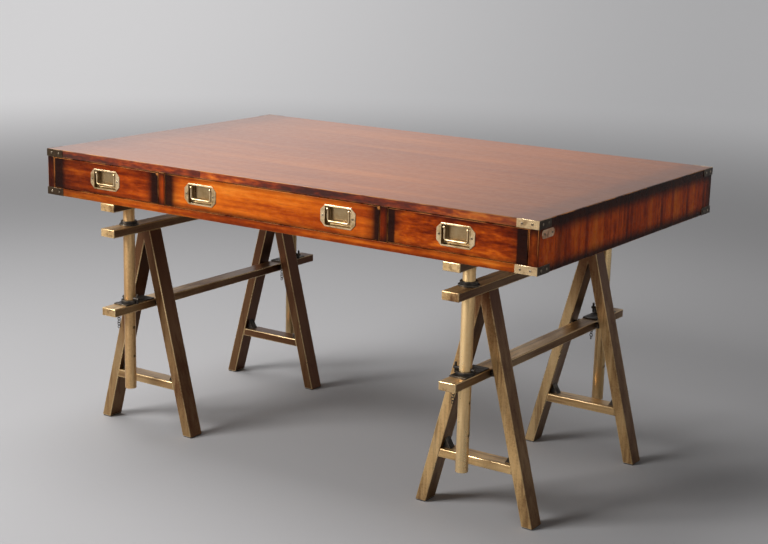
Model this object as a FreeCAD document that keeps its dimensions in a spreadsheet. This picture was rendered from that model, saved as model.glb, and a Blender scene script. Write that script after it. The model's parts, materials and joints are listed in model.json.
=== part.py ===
"""Campaign desk: a three-drawer writing top that stands on two height-adjustable trestles.

Frame: millimetres, +X along the length, +Z up, -Y the drawer side, origin on the floor under the centre.
"""
import FreeCAD, Part
import Sketcher
import os
import re

# Driving sizes: alias, value in millimetres, meaning.
SIZES = [
    ("desk_length", 1500, "length of the top"),
    ("desk_depth", 970, "depth of the top"),
    ("desk_height", 780, "floor to work surface, at the lowest setting"),
    ("case_height", 124, "height of the drawer case with its top"),
    ("top_thickness", 20, "top panel"),
    ("side_thickness", 24, "side panels, seen in front as the end stiles"),
    ("back_thickness", 20, "back panel"),
    ("base_thickness", 12, "board under the drawers"),
    ("rail_height", 20, "rail under the drawer fronts"),
    ("rail_depth", 28, "front to back size of that rail"),
    ("divider_thickness", 20, "uprights between the drawers"),
    ("side_bay_width", 373, "clear width of the left and right drawer bays"),
    ("drawer_gap", 1.5, "gap around a drawer front"),
    ("front_thickness", 20, "drawer front"),
    ("box_length", 430, "drawer box behind its front"),
    ("box_height", 70, "drawer sides"),
    ("box_side_gap", 2, "each drawer side to its bay"),
    ("board_thickness", 12, "drawer sides and backs"),
    ("floor_thickness", 6, "drawer bottoms"),
    ("floor_lift", 8, "bottom board above the lower edge of the drawer sides"),
    ("groove_depth", 5, "groove for the bottom board"),
    ("fit_gap", 0.2, "clearance of a board in its groove and a plate in its mortise"),
    ("slide_gap", 0.3, "clearance of the drawers on their runners and stops"),
    ("runner_width", 30, "strip under each drawer side"),
    ("stop_width", 30, "drawer stop block, across"),
    ("stop_depth", 20, "drawer stop block, front to back"),
    ("stop_height", 30, "drawer stop block"),
    ("stop_inset", 60, "edge of the bay to its stop block"),
    ("bracket_wing", 56, "corner bracket, length of each wing"),
    ("bracket_height", 20, "corner bracket"),
    ("bracket_thickness", 1.5, "corner bracket plate"),
    ("screw_inner", 16, "corner to the nearer bracket screw"),
    ("screw_outer", 42, "corner to the farther bracket screw"),
    ("screw_radius", 1.5, "small wood screw, shank"),
    ("screw_length", 12, "small wood screw, in the wood"),
    ("head_radius", 3, "small wood screw, head"),
    ("head_height", 1.2, "small wood screw, head"),
    ("screw_clearance", 0.1, "shank to its hole"),
    ("side_plate_length", 58, "oval plate on each side panel"),
    ("side_plate_height", 20, "oval plate on each side panel"),
    ("side_plate_setback", 42, "front face to the middle of the oval plate"),
    ("side_plate_drop", 33, "work surface to the middle of the oval plate"),
    ("side_plate_screw", 18, "middle of the oval plate to each of its screws"),
    ("plate_width", 102, "pull plate"),
    ("plate_height", 54, "pull plate"),
    ("plate_corner", 13, "cut corner of the pull plate"),
    ("plate_thickness", 2, "pull plate, proud of the drawer front"),
    ("cup_width", 75, "recess of the pull, inside"),
    ("cup_height", 46, "recess of the pull, inside"),
    ("cup_depth", 11, "recess of the pull, behind the drawer front's face"),
    ("cup_wall", 1.5, "sheet of the recess"),
    ("pull_inset", 120, "edge of the middle bay to the middle of the nearer pull"),
    ("plate_screw_offset", 43.5, "pull centre to each plate screw"),
    ("bail_width", 62, "between the centres of the bail's arms"),
    ("bail_drop", 29.5, "bail pivot to the centre of the grip"),
    ("bail_rod", 2.5, "radius of the bail's round bar"),
    ("bail_corner", 6, "bend radius of the bail's corners"),
    ("bail_pivot_rise", 16, "pull centre to the bail pivot"),
    ("bail_pivot_setback", 1.5, "front face of the drawer to the bail pivot, inwards"),
    ("bail_eye", 4, "radius of the eye at the top of each arm"),
    ("bail_eye_width", 4, "width of that eye"),
    ("bail_pin", 1.5, "radius of the bail's pivot pins"),
    ("pivot_clearance", 0.05, "running fit of the bail's pivot pins"),
    ("trestle_inset", 218, "end of the top to the middle of its trestle"),
    ("trestle_length", 890, "beams and bearers, front to back"),
    ("trestle_forward", 43, "middle of the desk to the middle of the trestles, forwards"),
    ("beam_width", 47, "bar section of beams, bearers and braces"),
    ("beam_height", 22, "bar section of beams, bearers and braces"),
    ("tube_wall", 2.5, "wall of the hollow metal members"),
    ("lift_gap", 47, "bearer to upper beam, at the lowest setting"),
    ("beam_drop", 194, "underside of the upper beam to the top of the lower beam"),
    ("post_radius", 15.5, "sliding posts"),
    ("post_setback", 83, "beam end to the middle of its post"),
    ("post_tail", 219, "underside of the lower beam to the foot of a post, at the lowest setting"),
    ("post_clearance", 0.08, "running fit of a post in its collars and beams"),
    ("pin_radius", 4, "height pins"),
    ("pin_clearance", 0.1, "running fit of a height pin"),
    ("pin_tip", 9, "height pin past the post, far side"),
    ("pin_reach", 17, "height pin past the post, grip side"),
    ("pin_grip", 26, "cross bar of the height pin"),
    ("pin_grip_radius", 3, "cross bar of the height pin"),
    ("pin_grip_inset", 5, "end of the height pin to the middle of its cross bar"),
    ("hole_pitch", 81, "between the height holes of a post"),
    ("spare_holes", 2, "height holes below the pinned one"),
    ("upper_flange_radius", 26, "upper collar, flange"),
    ("upper_flange_height", 4, "upper collar, flange"),
    ("upper_ring_radius", 22, "upper collar, ring"),
    ("upper_ring_height", 12, "upper collar, ring with flange"),
    ("wear_plate_width", 44, "plate of the lower collar"),
    ("wear_plate_outer", 38, "post to the outer end of that plate"),
    ("wear_plate_inner", 74, "post to the inner end of that plate"),
    ("wear_plate_height", 3.5, "plate of the lower collar"),
    ("lower_ring_radius", 23, "ring of the lower collar"),
    ("lower_ring_height", 9.5, "lower collar, plate with ring"),
    ("leg_frame_setback", 165, "beam end to the middle of its pair of legs"),
    ("leg_width", 29, "leg across its front face, measured level"),
    ("leg_depth", 48, "leg, front to back"),
    ("foot_spread", 165, "trestle middle to the outer edge of a foot"),
    ("head_spread", 20, "trestle middle to the outer edge of a leg's top"),
    ("brace_underside", 127, "floor to the underside of the braces"),
    ("gusset_leg", 22, "iron gusset, along the brace"),
    ("gusset_rise", 26, "iron gusset, up the leg"),
    ("gusset_depth", 22, "iron gusset, front to back"),
    ("glide_height", 3, "glide under each foot"),
    ("glide_inset", 2, "glide inside the foot's edges"),
    ("bolt_radius", 4, "bolt through the lower beam into both legs"),
    ("bolt_bite", 12, "that bolt inside each leg"),
    ("bolt_clearance", 0.1, "that bolt in its holes"),
    ("nut_radius", 9, "hexagon nut, centre to corner"),
    ("nut_height", 8, "hexagon nut"),
    ("bearer_screw_radius", 3, "screw from bearer into the case"),
    ("bearer_screw_bite", 10, "that screw in the board under the drawers"),
    ("bearer_screw_head", 6, "radius of that screw's head"),
    ("bearer_screw_inner", 150, "trestle middle to the inner bearer screws, along the bearer"),
    ("bearer_screw_outer", 300, "trestle middle to the outer bearer screws, along the bearer"),
    ("link_radius", 4.5, "chain link and eye, middle of the wire"),
    ("link_wire", 0.9, "radius of the chain wire"),
    ("link_play", 0.1, "play between two links"),
    ("chain_links", 5, "links that hang from each eye"),
    ("eye_shank", 3, "visible shank of the screw eye"),
    ("chain_offset", 18, "trestle middle to the screw eye, towards the left"),
    ("chain_setback", 24, "post to the screw eye beside it, towards the front"),
]

# Sizes that follow from the driving ones.
DERIVED = {
    "end_x": "desk_length / 2",
    "face_y": "desk_depth / 2",
    "case_underside": "desk_height - case_height",
    "top_underside": "desk_height - top_thickness",
    "bay_floor": "case_underside + rail_height",
    "base_top": "case_underside + base_thickness",
    "inner_x": "end_x - side_thickness",
    "divider_x": "inner_x - side_bay_width",
    "middle_bay_x": "divider_x - divider_thickness",
    "side_bay_middle": "divider_x + side_bay_width / 2",
    "front_bottom": "bay_floor + drawer_gap",
    "front_top": "top_underside - drawer_gap",
    "front_back_y": "front_thickness - face_y",
    "box_back_y": "front_back_y + box_length",
    "box_bottom": "bay_floor + slide_gap",
    "box_top": "box_bottom + box_height",
    "floor_bottom": "box_bottom + floor_lift",
    "floor_top": "floor_bottom + floor_thickness",
    "pull_z": "(front_bottom + front_top) / 2",
    "pivot_z": "pull_z + bail_pivot_rise",
    "pivot_y": "bail_pivot_setback - face_y",
    "trestle_x": "end_x - trestle_inset",
    "trestle_y": "-trestle_forward",
    "beam_front_y": "trestle_y - trestle_length / 2",
    "beam_rear_y": "trestle_y + trestle_length / 2",
    "bearer_underside": "case_underside - beam_height",
    "upper_beam_top": "bearer_underside - lift_gap",
    "upper_beam_underside": "upper_beam_top - beam_height",
    "lower_beam_top": "upper_beam_underside - beam_drop",
    "lower_beam_underside": "lower_beam_top - beam_height",
    "lower_beam_middle": "lower_beam_top - beam_height / 2",
    "post_foot": "lower_beam_underside - post_tail",
    "post_reach": "trestle_length / 2 - post_setback",
    "legs_reach": "trestle_length / 2 - leg_frame_setback",
    "pin_z": "lower_beam_top + lower_ring_height + pin_radius + post_clearance",
    "leg_slope": "(foot_spread - head_spread) / (upper_beam_underside - glide_height)",
    "miter_z": "glide_height + (foot_spread - leg_width) / leg_slope",
    "brace_top": "brace_underside + beam_height",
    "link_pitch": "2 * link_radius - 2 * link_wire - link_play",
    "eye_z": "lower_beam_underside - eye_shank - link_radius",
}

X_AXIS = FreeCAD.Vector(1, 0, 0)
Y_AXIS = FreeCAD.Vector(0, 1, 0)
Z_AXIS = FreeCAD.Vector(0, 0, 1)
ACROSS_Y = FreeCAD.Rotation(X_AXIS, 90)
ACROSS_X = FreeCAD.Rotation(Y_AXIS, 90)
TURNS = {
    "+x": FreeCAD.Rotation(Y_AXIS, 90),
    "-x": FreeCAD.Rotation(Y_AXIS, -90),
    "+y": FreeCAD.Rotation(X_AXIS, -90),
    "-y": FreeCAD.Rotation(X_AXIS, 90),
    "+z": FreeCAD.Rotation(),
    "-z": FreeCAD.Rotation(X_AXIS, 180),
}
OPPOSITE = {"+": "-", "-": "+"}
BOTH = ("-1", "1")
TRESTLES = (("left", "-1", "+x"), ("right", "1", "-x"))
ENDS = (("front", "-1"), ("rear", "1"))

doc = FreeCAD.newDocument("campaign_desk")
sheet = doc.addObject("Spreadsheet::Sheet", "sizes")
for row, (alias, value, meaning) in enumerate(SIZES, start=1):
    sheet.set(f"A{row}", meaning)
    sheet.set(f"B{row}", str(value))
    sheet.setAlias(f"B{row}", alias)
doc.recompute()

driving = {alias for alias, value, meaning in SIZES}
nodes = {}


def formula(text):
    """Write a formula of size names as an expression on the sheet's cells."""
    def cell(match):
        word = match.group(0)
        if word in DERIVED:
            return f"({formula(DERIVED[word])})"
        return f"sizes.{word}" if word in driving else word
    return re.sub(r"[a-z_]+", cell, text)


def number(text):
    """Work out a formula of size names."""
    return float(sheet.evalExpression(formula(text)))


def bind(thing, **properties):
    """Bind each property of an object to its formula."""
    for name, text in properties.items():
        thing.setExpression(name, formula(text))
    return thing


def place(thing, point, turn=FreeCAD.Rotation()):
    """Turn an object and bind its position."""
    thing.Placement = FreeCAD.Placement(FreeCAD.Vector(), turn)
    for axis, text in zip("xyz", point):
        thing.setExpression(f"Placement.Base.{axis}", formula(text))
    return thing


def node(label, thing):
    """Name a finished sub-part."""
    thing.Label = label
    nodes[label] = thing
    return thing


def moved(point, way, distance):
    """The point a distance away, such as "-y" for towards the front."""
    index = "xyz".index(way[1])
    shifted = list(point)
    shifted[index] = f"{point[index]} {way[0]} ({distance})"
    return tuple(shifted)


def opposite(way):
    """The other way along the same axis."""
    return OPPOSITE[way[0]] + way[1]


def span(sign, near, far):
    """Lower and upper bound of a stretch on one side of the middle plane."""
    return (near, far) if sign == "1" else (f"-({far})", f"-({near})")


def along(end, reach):
    """Position along Y of what stands a reach in front of or behind the trestle's middle."""
    return f"(trestle_y + {end} * ({reach}))"


def around(middle, width):
    """Lower and upper bound of a width about its middle."""
    return f"{middle} - ({width}) / 2", f"{middle} + ({width}) / 2"


def box(x, y, z):
    """A block between the lower and upper bound on each axis."""
    block = doc.addObject("Part::Box", "block")
    bind(block, Length=f"{x[1]} - ({x[0]})", Width=f"{y[1]} - ({y[0]})", Height=f"{z[1]} - ({z[0]})")
    return place(block, (x[0], y[0], z[0]))


def rod(radius, length, start, way):
    """A cylinder that starts at a point and runs one way."""
    cylinder = bind(doc.addObject("Part::Cylinder", "rod"), Radius=radius, Height=length)
    return place(cylinder, start, TURNS[way])


def ring(radius, wire, middle, turn, sweep="360"):
    """A torus, or the stretch of one that starts on its own +X side."""
    torus = bind(doc.addObject("Part::Torus", "ring"), Radius1=radius, Radius2=wire, Angle3=sweep)
    return place(torus, middle, turn)


def group(things):
    """Separate solids side by side."""
    several = doc.addObject("Part::Compound", "group")
    several.Links = things
    return several


def join(things):
    """One solid out of touching or crossing ones."""
    whole = doc.addObject("Part::MultiFuse", "join")
    whole.Shapes = things
    whole.Refine = True
    return whole


def cut(base, tools):
    """A solid with all the tools taken away."""
    rest = doc.addObject("Part::Cut", "cut")
    rest.Base = base
    rest.Tool = tools[0] if len(tools) == 1 else group(tools)
    return rest


def outline(body, role, points):
    """A closed polygon on one of the body's own origin planes, each corner bound to its formulas."""
    sketch = body.newObject("Sketcher::SketchObject", "outline")
    plane = [feature for feature in body.Origin.OriginFeatures if feature.Role == role][0]
    sketch.AttachmentSupport = [(plane, "")]
    sketch.MapMode = "FlatFace"
    corners = [FreeCAD.Vector(number(across), number(along), 0) for across, along in points]
    count = len(corners)
    for index, corner in enumerate(corners):
        sketch.addGeometry(Part.LineSegment(corner, corners[(index + 1) % count]))
    for index in range(count):
        sketch.addConstraint(Sketcher.Constraint("Coincident", index, 2, (index + 1) % count, 1))
    for index, (across, along) in enumerate(points):
        for kind, text in (("DistanceX", across), ("DistanceY", along)):
            constraint = sketch.addConstraint(Sketcher.Constraint(kind, -1, 1, index, 1, number(text)))
            sketch.setExpression(f"Constraints[{constraint}]", formula(text))
    return sketch


def extrude(points, thickness, middle, role="XZ_Plane", hollow=None):
    """A polygon extruded to both sides of its plane, with a sealed hollow if one is given."""
    body = doc.addObject("PartDesign::Body", "body")
    pad = body.newObject("PartDesign::Pad", "pad")
    pad.Profile = outline(body, role, points)
    pad.SideType = "Symmetric"
    bind(pad, Length=thickness)
    if hollow:
        pocket = body.newObject("PartDesign::Pocket", "hollow")
        pocket.Profile = outline(body, role, hollow)
        pocket.SideType = "Symmetric"
        bind(pocket, Length=f"{thickness} - 2 * tube_wall")
    return place(body, middle)


def screw(point, way, under):
    """A round-headed wood screw through a plate; the point lies on the wood, the way leads out of it."""
    start = moved(point, opposite(way), "screw_length")
    shank = rod("screw_radius", f"screw_length + {under}", start, way)
    return join([shank, rod("head_radius", "head_height", moved(point, way, under), way)])


def screw_hole(point, way, under):
    """The hole of such a screw in its wood and plate."""
    start = moved(point, opposite(way), "screw_length + screw_clearance")
    return rod("screw_radius + screw_clearance", f"screw_length + screw_clearance + {under}", start, way)


# ------------------------------------------------------------------------------------------
# Drawer case
# ------------------------------------------------------------------------------------------

def bracket_screws():
    """Where the corner brackets and the oval side plates are screwed on: point on the wood, way out."""
    places = []
    for level in ("case_underside + bracket_height / 2", "desk_height - bracket_height / 2"):
        for across in BOTH:
            for deep in BOTH:
                for reach in ("screw_inner", "screw_outer"):
                    wing = (f"{across} * (end_x - {reach})", f"{deep} * face_y", level)
                    places.append((wing, "+y" if deep == "1" else "-y"))
                    wing = (f"{across} * end_x", f"{deep} * (face_y - {reach})", level)
                    places.append((wing, "+x" if across == "1" else "-x"))
    for across in BOTH:
        for along in BOTH:
            y = f"side_plate_setback - face_y + {along} * side_plate_screw"
            plate = (f"{across} * end_x", y, "desk_height - side_plate_drop")
            places.append((plate, "+x" if across == "1" else "-x"))
    return places


def bracket(across, deep, level):
    """One L-shaped corner bracket."""
    plate = "bracket_thickness"
    points = [
        (f"{across} * (end_x + {plate})", f"{deep} * (face_y + {plate})"),
        (f"{across} * (end_x + {plate})", f"{deep} * (face_y - bracket_wing)"),
        (f"{across} * end_x", f"{deep} * (face_y - bracket_wing)"),
        (f"{across} * end_x", f"{deep} * face_y"),
        (f"{across} * (end_x - bracket_wing)", f"{deep} * face_y"),
        (f"{across} * (end_x - bracket_wing)", f"{deep} * (face_y + {plate})"),
    ]
    return extrude(points, "bracket_height", ("0", "0", level), "XY_Plane")


def side_plate(across):
    """One oval plate on a side panel."""
    middle = "side_plate_setback - face_y"
    z = "desk_height - side_plate_drop"
    x = span(across, "end_x", "end_x + bracket_thickness")
    bar = box(x, around(middle, "side_plate_length - side_plate_height"), around(z, "side_plate_height"))
    ends = []
    for along in BOTH:
        y = f"{middle} + {along} * (side_plate_length - side_plate_height) / 2"
        ends.append(rod("side_plate_height / 2", "bracket_thickness", (x[0], y, z), "+x"))
    return join([bar] + ends)


def build_case():
    """The fixed boards of the case with their brackets."""
    inside_x = ("-inner_x", "inner_x")
    behind_rail = ("rail_depth - face_y", "face_y - back_thickness")
    places = bracket_screws()
    holes = group([screw_hole(point, way, "bracket_thickness") for point, way in places])
    top = extrude([
        ("-end_x", "desk_height"),
        ("end_x", "desk_height"),
        ("end_x - top_thickness", "top_underside"),
        ("top_thickness - end_x", "top_underside"),
    ], "desk_depth", ("0", "0", "0"))
    node("top_panel", cut(top, [holes]))
    for name, across, way in TRESTLES:
        side = extrude([
            (f"{across} * end_x", "case_underside"),
            (f"{across} * end_x", "desk_height"),
            (f"{across} * (end_x - top_thickness)", "top_underside"),
            (f"{across} * inner_x", "top_underside"),
            (f"{across} * inner_x", "case_underside"),
        ], "desk_depth", ("0", "0", "0"))
        node(f"{name}_side_panel", cut(side, [holes]))
    back = box(inside_x, ("face_y - back_thickness", "face_y"), ("case_underside", "top_underside"))
    node("back_panel", cut(back, [holes]))
    rail = box(inside_x, ("-face_y", "rail_depth - face_y"), ("case_underside", "bay_floor"))
    node("front_rail", cut(rail, [holes]))
    base = box(inside_x, behind_rail, ("case_underside", "base_top"))
    node("bottom_panel", cut(base, [rod(*bearer_screw_hole(*spot)) for spot in bearer_screw_spots()]))
    dividers = []
    for across in BOTH:
        x = span(across, "middle_bay_x", "divider_x")
        upright = box(x, ("-face_y", "face_y - back_thickness"), ("base_top", "top_underside"))
        dividers.append(cut(upright, [box(x, ("-face_y", "rail_depth - face_y"), ("base_top", "bay_floor"))]))
    node("drawer_dividers", group(dividers))
    brackets = []
    for level in ("case_underside + bracket_height / 2", "desk_height - bracket_height / 2"):
        for across in BOTH:
            brackets += [cut(bracket(across, deep, level), [holes]) for deep in BOTH]
    node("corner_brackets", group(brackets))
    node("side_plates", group([cut(side_plate(across), [holes]) for across in BOTH]))
    node("bracket_screws", group([screw(point, way, "bracket_thickness") for point, way in places]))


# ------------------------------------------------------------------------------------------
# Drawers and their pulls
# ------------------------------------------------------------------------------------------

BAYS = (
    ("left", ("-inner_x", "-divider_x"), ("-side_bay_middle",)),
    ("middle", ("-middle_bay_x", "middle_bay_x"), ("pull_inset - middle_bay_x", "middle_bay_x - pull_inset")),
    ("right", ("divider_x", "inner_x"), ("side_bay_middle",)),
)


def cup(x, grow):
    """The block of a pull's recess, grown by a margin on every side but the front."""
    return box(around(x, f"cup_width + 2 * ({grow})"),
               ("-face_y - plate_thickness", f"cup_depth + {grow} - face_y"),
               around("pull_z", f"cup_height + 2 * ({grow})"))


def plate_screws(x):
    """Where a pull plate is screwed to its drawer front."""
    return [(f"{x} + {across} * plate_screw_offset", "-face_y", "pull_z") for across in BOTH]


def pull_plate(x):
    """A flush pull: cut-cornered plate with a box-shaped recess, and bearing holes for the bail."""
    half_width = "plate_width / 2"
    half_height = "plate_height / 2"
    points = []
    for across, up in (("1", "1"), ("-1", "1"), ("-1", "-1"), ("1", "-1")):
        corner = [(f"{across} * {half_width}", f"{up} * ({half_height} - plate_corner)"),
                  (f"{across} * ({half_width} - plate_corner)", f"{up} * {half_height}")]
        points += corner if across == up else corner[::-1]
    plate = extrude(points, "plate_thickness", (x, "-face_y - plate_thickness / 2", "pull_z"))
    axle = (f"{x} - cup_width / 2 - 2 * cup_wall", "pivot_y", "pivot_z")
    tools = [cup(x, "0"), rod("bail_pin + pivot_clearance", "cup_width + 4 * cup_wall", axle, "+x")]
    tools += [screw_hole(point, "-y", "plate_thickness") for point in plate_screws(x)]
    return cut(join([plate, cup(x, "cup_wall")]), tools)


def bail(x):
    """The bail of one pull: two arms, a grip with bent corners, eyes and pivot pins."""
    half = "bail_width / 2"
    bend_z = "pivot_z - bail_drop + bail_corner"
    parts = [rod("bail_rod", "bail_width - 2 * bail_corner",
                 (f"{x} - {half} + bail_corner", "pivot_y", "pivot_z - bail_drop"), "+x")]
    for across, way, quarter in (("-1", "-x", 180), ("1", "+x", 270)):
        arm_x = f"{x} + {across} * {half}"
        bend = (f"{x} + {across} * ({half} - bail_corner)", "pivot_y", bend_z)
        parts += [
            rod("bail_rod", "bail_drop - bail_corner", (arm_x, "pivot_y", bend_z), "+z"),
            ring("bail_corner", "bail_rod", bend, ACROSS_Y * FreeCAD.Rotation(Z_AXIS, quarter), "90"),
            rod("bail_eye", "bail_eye_width", (f"{arm_x} - bail_eye_width / 2", "pivot_y", "pivot_z"), "+x"),
            rod("bail_pin", f"cup_width / 2 + cup_wall - {half}", (arm_x, "pivot_y", "pivot_z"), way),
        ]
    return join(parts)


def build_drawer(name, bay, pulls):
    """One drawer box with its front and the plates and screws of its pulls."""
    box_y = ("front_back_y", "box_back_y")
    side_z = ("box_bottom", "box_top")
    front = box((f"{bay[0]} + drawer_gap", f"{bay[1]} - drawer_gap"), ("-face_y", "front_back_y"),
                ("front_bottom", "front_top"))
    screws = [point for x in pulls for point in plate_screws(x)]
    holes = [screw_hole(point, "-y", "plate_thickness") for point in screws]
    node(f"{name}_drawer_front", cut(front, [cup(x, "cup_wall + fit_gap") for x in pulls] + holes))
    outer = (f"{bay[0]} + box_side_gap", f"{bay[1]} - box_side_gap")
    inner = (f"{outer[0]} + board_thickness", f"{outer[1]} - board_thickness")
    groove = box((f"{inner[0]} - groove_depth", f"{inner[1]} + groove_depth"), box_y,
                 ("floor_bottom - fit_gap", "floor_top + fit_gap"))
    sides = [cut(box(x, box_y, side_z), [groove]) for x in ((outer[0], inner[0]), (inner[1], outer[1]))]
    node(f"{name}_drawer_sides", group(sides))
    floor_x = (f"{inner[0]} - groove_depth + fit_gap", f"{inner[1]} + groove_depth - fit_gap")
    node(f"{name}_drawer_bottom", box(floor_x, box_y, ("floor_bottom", "floor_top")))
    back_y = ("box_back_y - board_thickness", "box_back_y")
    node(f"{name}_drawer_back", box(inner, back_y, ("floor_top", "box_top")))
    plates = [pull_plate(x) for x in pulls]
    node(f"{name}_pull_plate", plates[0] if len(plates) == 1 else group(plates))
    node(f"{name}_pull_screws", group([screw(point, "-y", "plate_thickness") for point in screws]))


def build_drawer_ways():
    """The strips that the drawers run on, and the blocks that stop them."""
    behind_rail = ("rail_depth - face_y", "face_y - back_thickness")
    runners = []
    stops = []
    for name, bay, pulls in BAYS:
        for edge, sign in ((bay[0], "+"), (bay[1], "-")):
            near = f"{edge} {sign} stop_inset"
            ends = [edge, f"{edge} {sign} runner_width"]
            stop_ends = [near, f"{near} {sign} stop_width"]
            if sign == "-":
                ends.reverse()
                stop_ends.reverse()
            runners.append(box(ends, behind_rail, ("base_top", "bay_floor")))
            stops.append(box(stop_ends, ("box_back_y + slide_gap", "box_back_y + slide_gap + stop_depth"),
                             ("base_top", "base_top + stop_height")))
    node("drawer_runners", group(runners))
    node("drawer_stops", group(stops))


def build_drawers():
    """The three drawers and the four bails."""
    for name, bay, pulls in BAYS:
        build_drawer(name, bay, pulls)
    bails = ("left", "middle_left", "middle_right", "right")
    for name, x in zip(bails, [x for name, bay, pulls in BAYS for x in pulls]):
        node(f"{name}_bail", bail(x))
    build_drawer_ways()


# ------------------------------------------------------------------------------------------
# Bearers, sliding posts and height pins
# ------------------------------------------------------------------------------------------

def bearer_screw_spots():
    """Side and position along Y of each screw that holds a bearer."""
    reaches = ("bearer_screw_inner", "bearer_screw_outer")
    return [(side, along(end, reach)) for name, side, way in TRESTLES for end in BOTH for reach in reaches]


def bearer_screw_hole(side, y):
    """The hole of a bearer screw, through the bearer and into the board above."""
    start = (f"{side} * trestle_x", y, "bearer_underside")
    length = "beam_height + bearer_screw_bite + screw_clearance"
    return "bearer_screw_radius + screw_clearance", length, start, "+z"


def bearer_screw(side, y):
    """A screw from under the bearer."""
    start = (f"{side} * trestle_x", y, "bearer_underside")
    shank = rod("bearer_screw_radius", "beam_height + bearer_screw_bite", start, "+z")
    return join([shank, rod("bearer_screw_head", "head_height", start, "-z")])


def beam(side, underside, holes):
    """A hollow level bar along Y with sealed ends."""
    x = f"{side} * trestle_x"
    top = f"{underside} + beam_height"
    bar = box(around(x, "beam_width"), ("beam_front_y", "beam_rear_y"), (underside, top))
    hollow = box(around(x, "beam_width - 2 * tube_wall"),
                 ("beam_front_y + tube_wall", "beam_rear_y - tube_wall"),
                 (f"{underside} + tube_wall", f"{top} - tube_wall"))
    return cut(bar, [hollow] + holes)


def post(side, end):
    """A hollow sliding post with its row of height holes."""
    x = f"{side} * trestle_x"
    y = along(end, "post_reach")
    length = "bearer_underside - post_foot"
    tube = rod("post_radius", length, (x, y, "post_foot"), "+z")
    floor = (x, y, "post_foot + tube_wall")
    tools = [rod("post_radius - tube_wall", f"{length} - 2 * tube_wall", floor, "+z")]
    for index in range(int(number("spare_holes")) + 1):
        start = (f"{x} - post_radius - pin_clearance", y, f"pin_z - {index} * hole_pitch")
        tools.append(rod("pin_radius + pin_clearance", "2 * (post_radius + pin_clearance)", start, "+x"))
    return cut(tube, tools)


def height_pin(side, end, way):
    """A pin through a post, with a cross bar for the fingers on the desk's inner side."""
    middle = (f"{side} * trestle_x", along(end, "post_reach"), "pin_z")
    shaft = rod("pin_radius", "2 * post_radius + pin_tip + pin_reach",
                moved(middle, opposite(way), "post_radius + pin_tip"), way)
    grip = moved(moved(middle, way, "post_radius + pin_reach - pin_grip_inset"), "-z", "pin_grip / 2")
    return join([shaft, rod("pin_grip_radius", "pin_grip", grip, "+z")])


def build_lift():
    """What the top rests on and rises with."""
    screws = bearer_screw_spots()
    for name, side, way in TRESTLES:
        holes = [rod(*bearer_screw_hole(*spot)) for spot in screws if spot[0] == side]
        node(f"{name}_bearer", beam(side, "bearer_underside", holes))
        node(f"{name}_posts", group([post(side, end) for word, end in ENDS]))
        for word, end in ENDS:
            node(f"{name}_{word}_height_pin", height_pin(side, end, way))
    node("bearer_screws", group([bearer_screw(*spot) for spot in screws]))


# ------------------------------------------------------------------------------------------
# Trestles
# ------------------------------------------------------------------------------------------

def outer_edge(z):
    """Distance of a leg's outer edge from the trestle's middle plane at a height."""
    return f"(foot_spread - leg_slope * ({z} - glide_height))"


def inner_edge(z):
    """Distance of a leg's inner edge from the trestle's middle plane at a height."""
    return f"(foot_spread - leg_width - leg_slope * ({z} - glide_height))"


def leg(side, end, lean, holes):
    """A hollow leg, cut level at both ends and mitred against its twin under the upper beam."""
    low = "(glide_height + tube_wall)"
    high = "(upper_beam_underside - tube_wall)"
    points = [
        (f"{lean} * foot_spread", "glide_height"),
        (f"{lean} * head_spread", "upper_beam_underside"),
        ("0", "upper_beam_underside"),
        ("0", "miter_z"),
        (f"{lean} * (foot_spread - leg_width)", "glide_height"),
    ]
    hollow = [
        (f"{lean} * ({outer_edge(low)} - tube_wall)", low),
        (f"{lean} * ({outer_edge(high)} - tube_wall)", high),
        (f"{lean} * tube_wall", high),
        (f"{lean} * tube_wall", "miter_z"),
        (f"{lean} * ({inner_edge(low)} + tube_wall)", low),
    ]
    middle = (f"{side} * trestle_x", along(end, "legs_reach"), "0")
    return cut(extrude(points, "leg_depth", middle, hollow=hollow), holes)


def brace(side, end):
    """The hollow cross bar between the two legs of a pair."""
    low = "(brace_underside + tube_wall)"
    high = "(brace_top - tube_wall)"
    bottom = inner_edge("brace_underside")
    top = inner_edge("brace_top")
    points = [(f"-{bottom}", "brace_underside"), (bottom, "brace_underside"),
              (top, "brace_top"), (f"-{top}", "brace_top")]
    near = f"({inner_edge(low)} - tube_wall)"
    far = f"({inner_edge(high)} - tube_wall)"
    hollow = [(f"-{near}", low), (near, low), (far, high), (f"-{far}", high)]
    middle = (f"{side} * trestle_x", along(end, "legs_reach"), "0")
    return extrude(points, "beam_width", middle, hollow=hollow)


def gusset(side, end, lean):
    """A small iron wedge in the corner between a brace and a leg."""
    points = [
        (f"{lean} * {inner_edge('brace_top')}", "brace_top"),
        (f"{lean} * ({inner_edge('brace_top')} - gusset_leg)", "brace_top"),
        (f"{lean} * {inner_edge('(brace_top + gusset_rise)')}", "brace_top + gusset_rise"),
    ]
    return extrude(points, "gusset_depth", (f"{side} * trestle_x", along(end, "legs_reach"), "0"))


def glide(side, end, lean):
    """The pad under one foot."""
    x = span(lean, "foot_spread - leg_width + glide_inset", "foot_spread - glide_inset")
    middle = f"{side} * trestle_x"
    return box((f"{middle} + {x[0]}", f"{middle} + {x[1]}"),
               around(along(end, "legs_reach"), "leg_depth - 2 * glide_inset"), ("0", "glide_height"))


def post_hole(side, end, start, length):
    """The bore that a post slides in."""
    foot = (f"{side} * trestle_x", along(end, "post_reach"), start)
    return rod("post_radius + post_clearance", length, foot, "+z")


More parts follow.
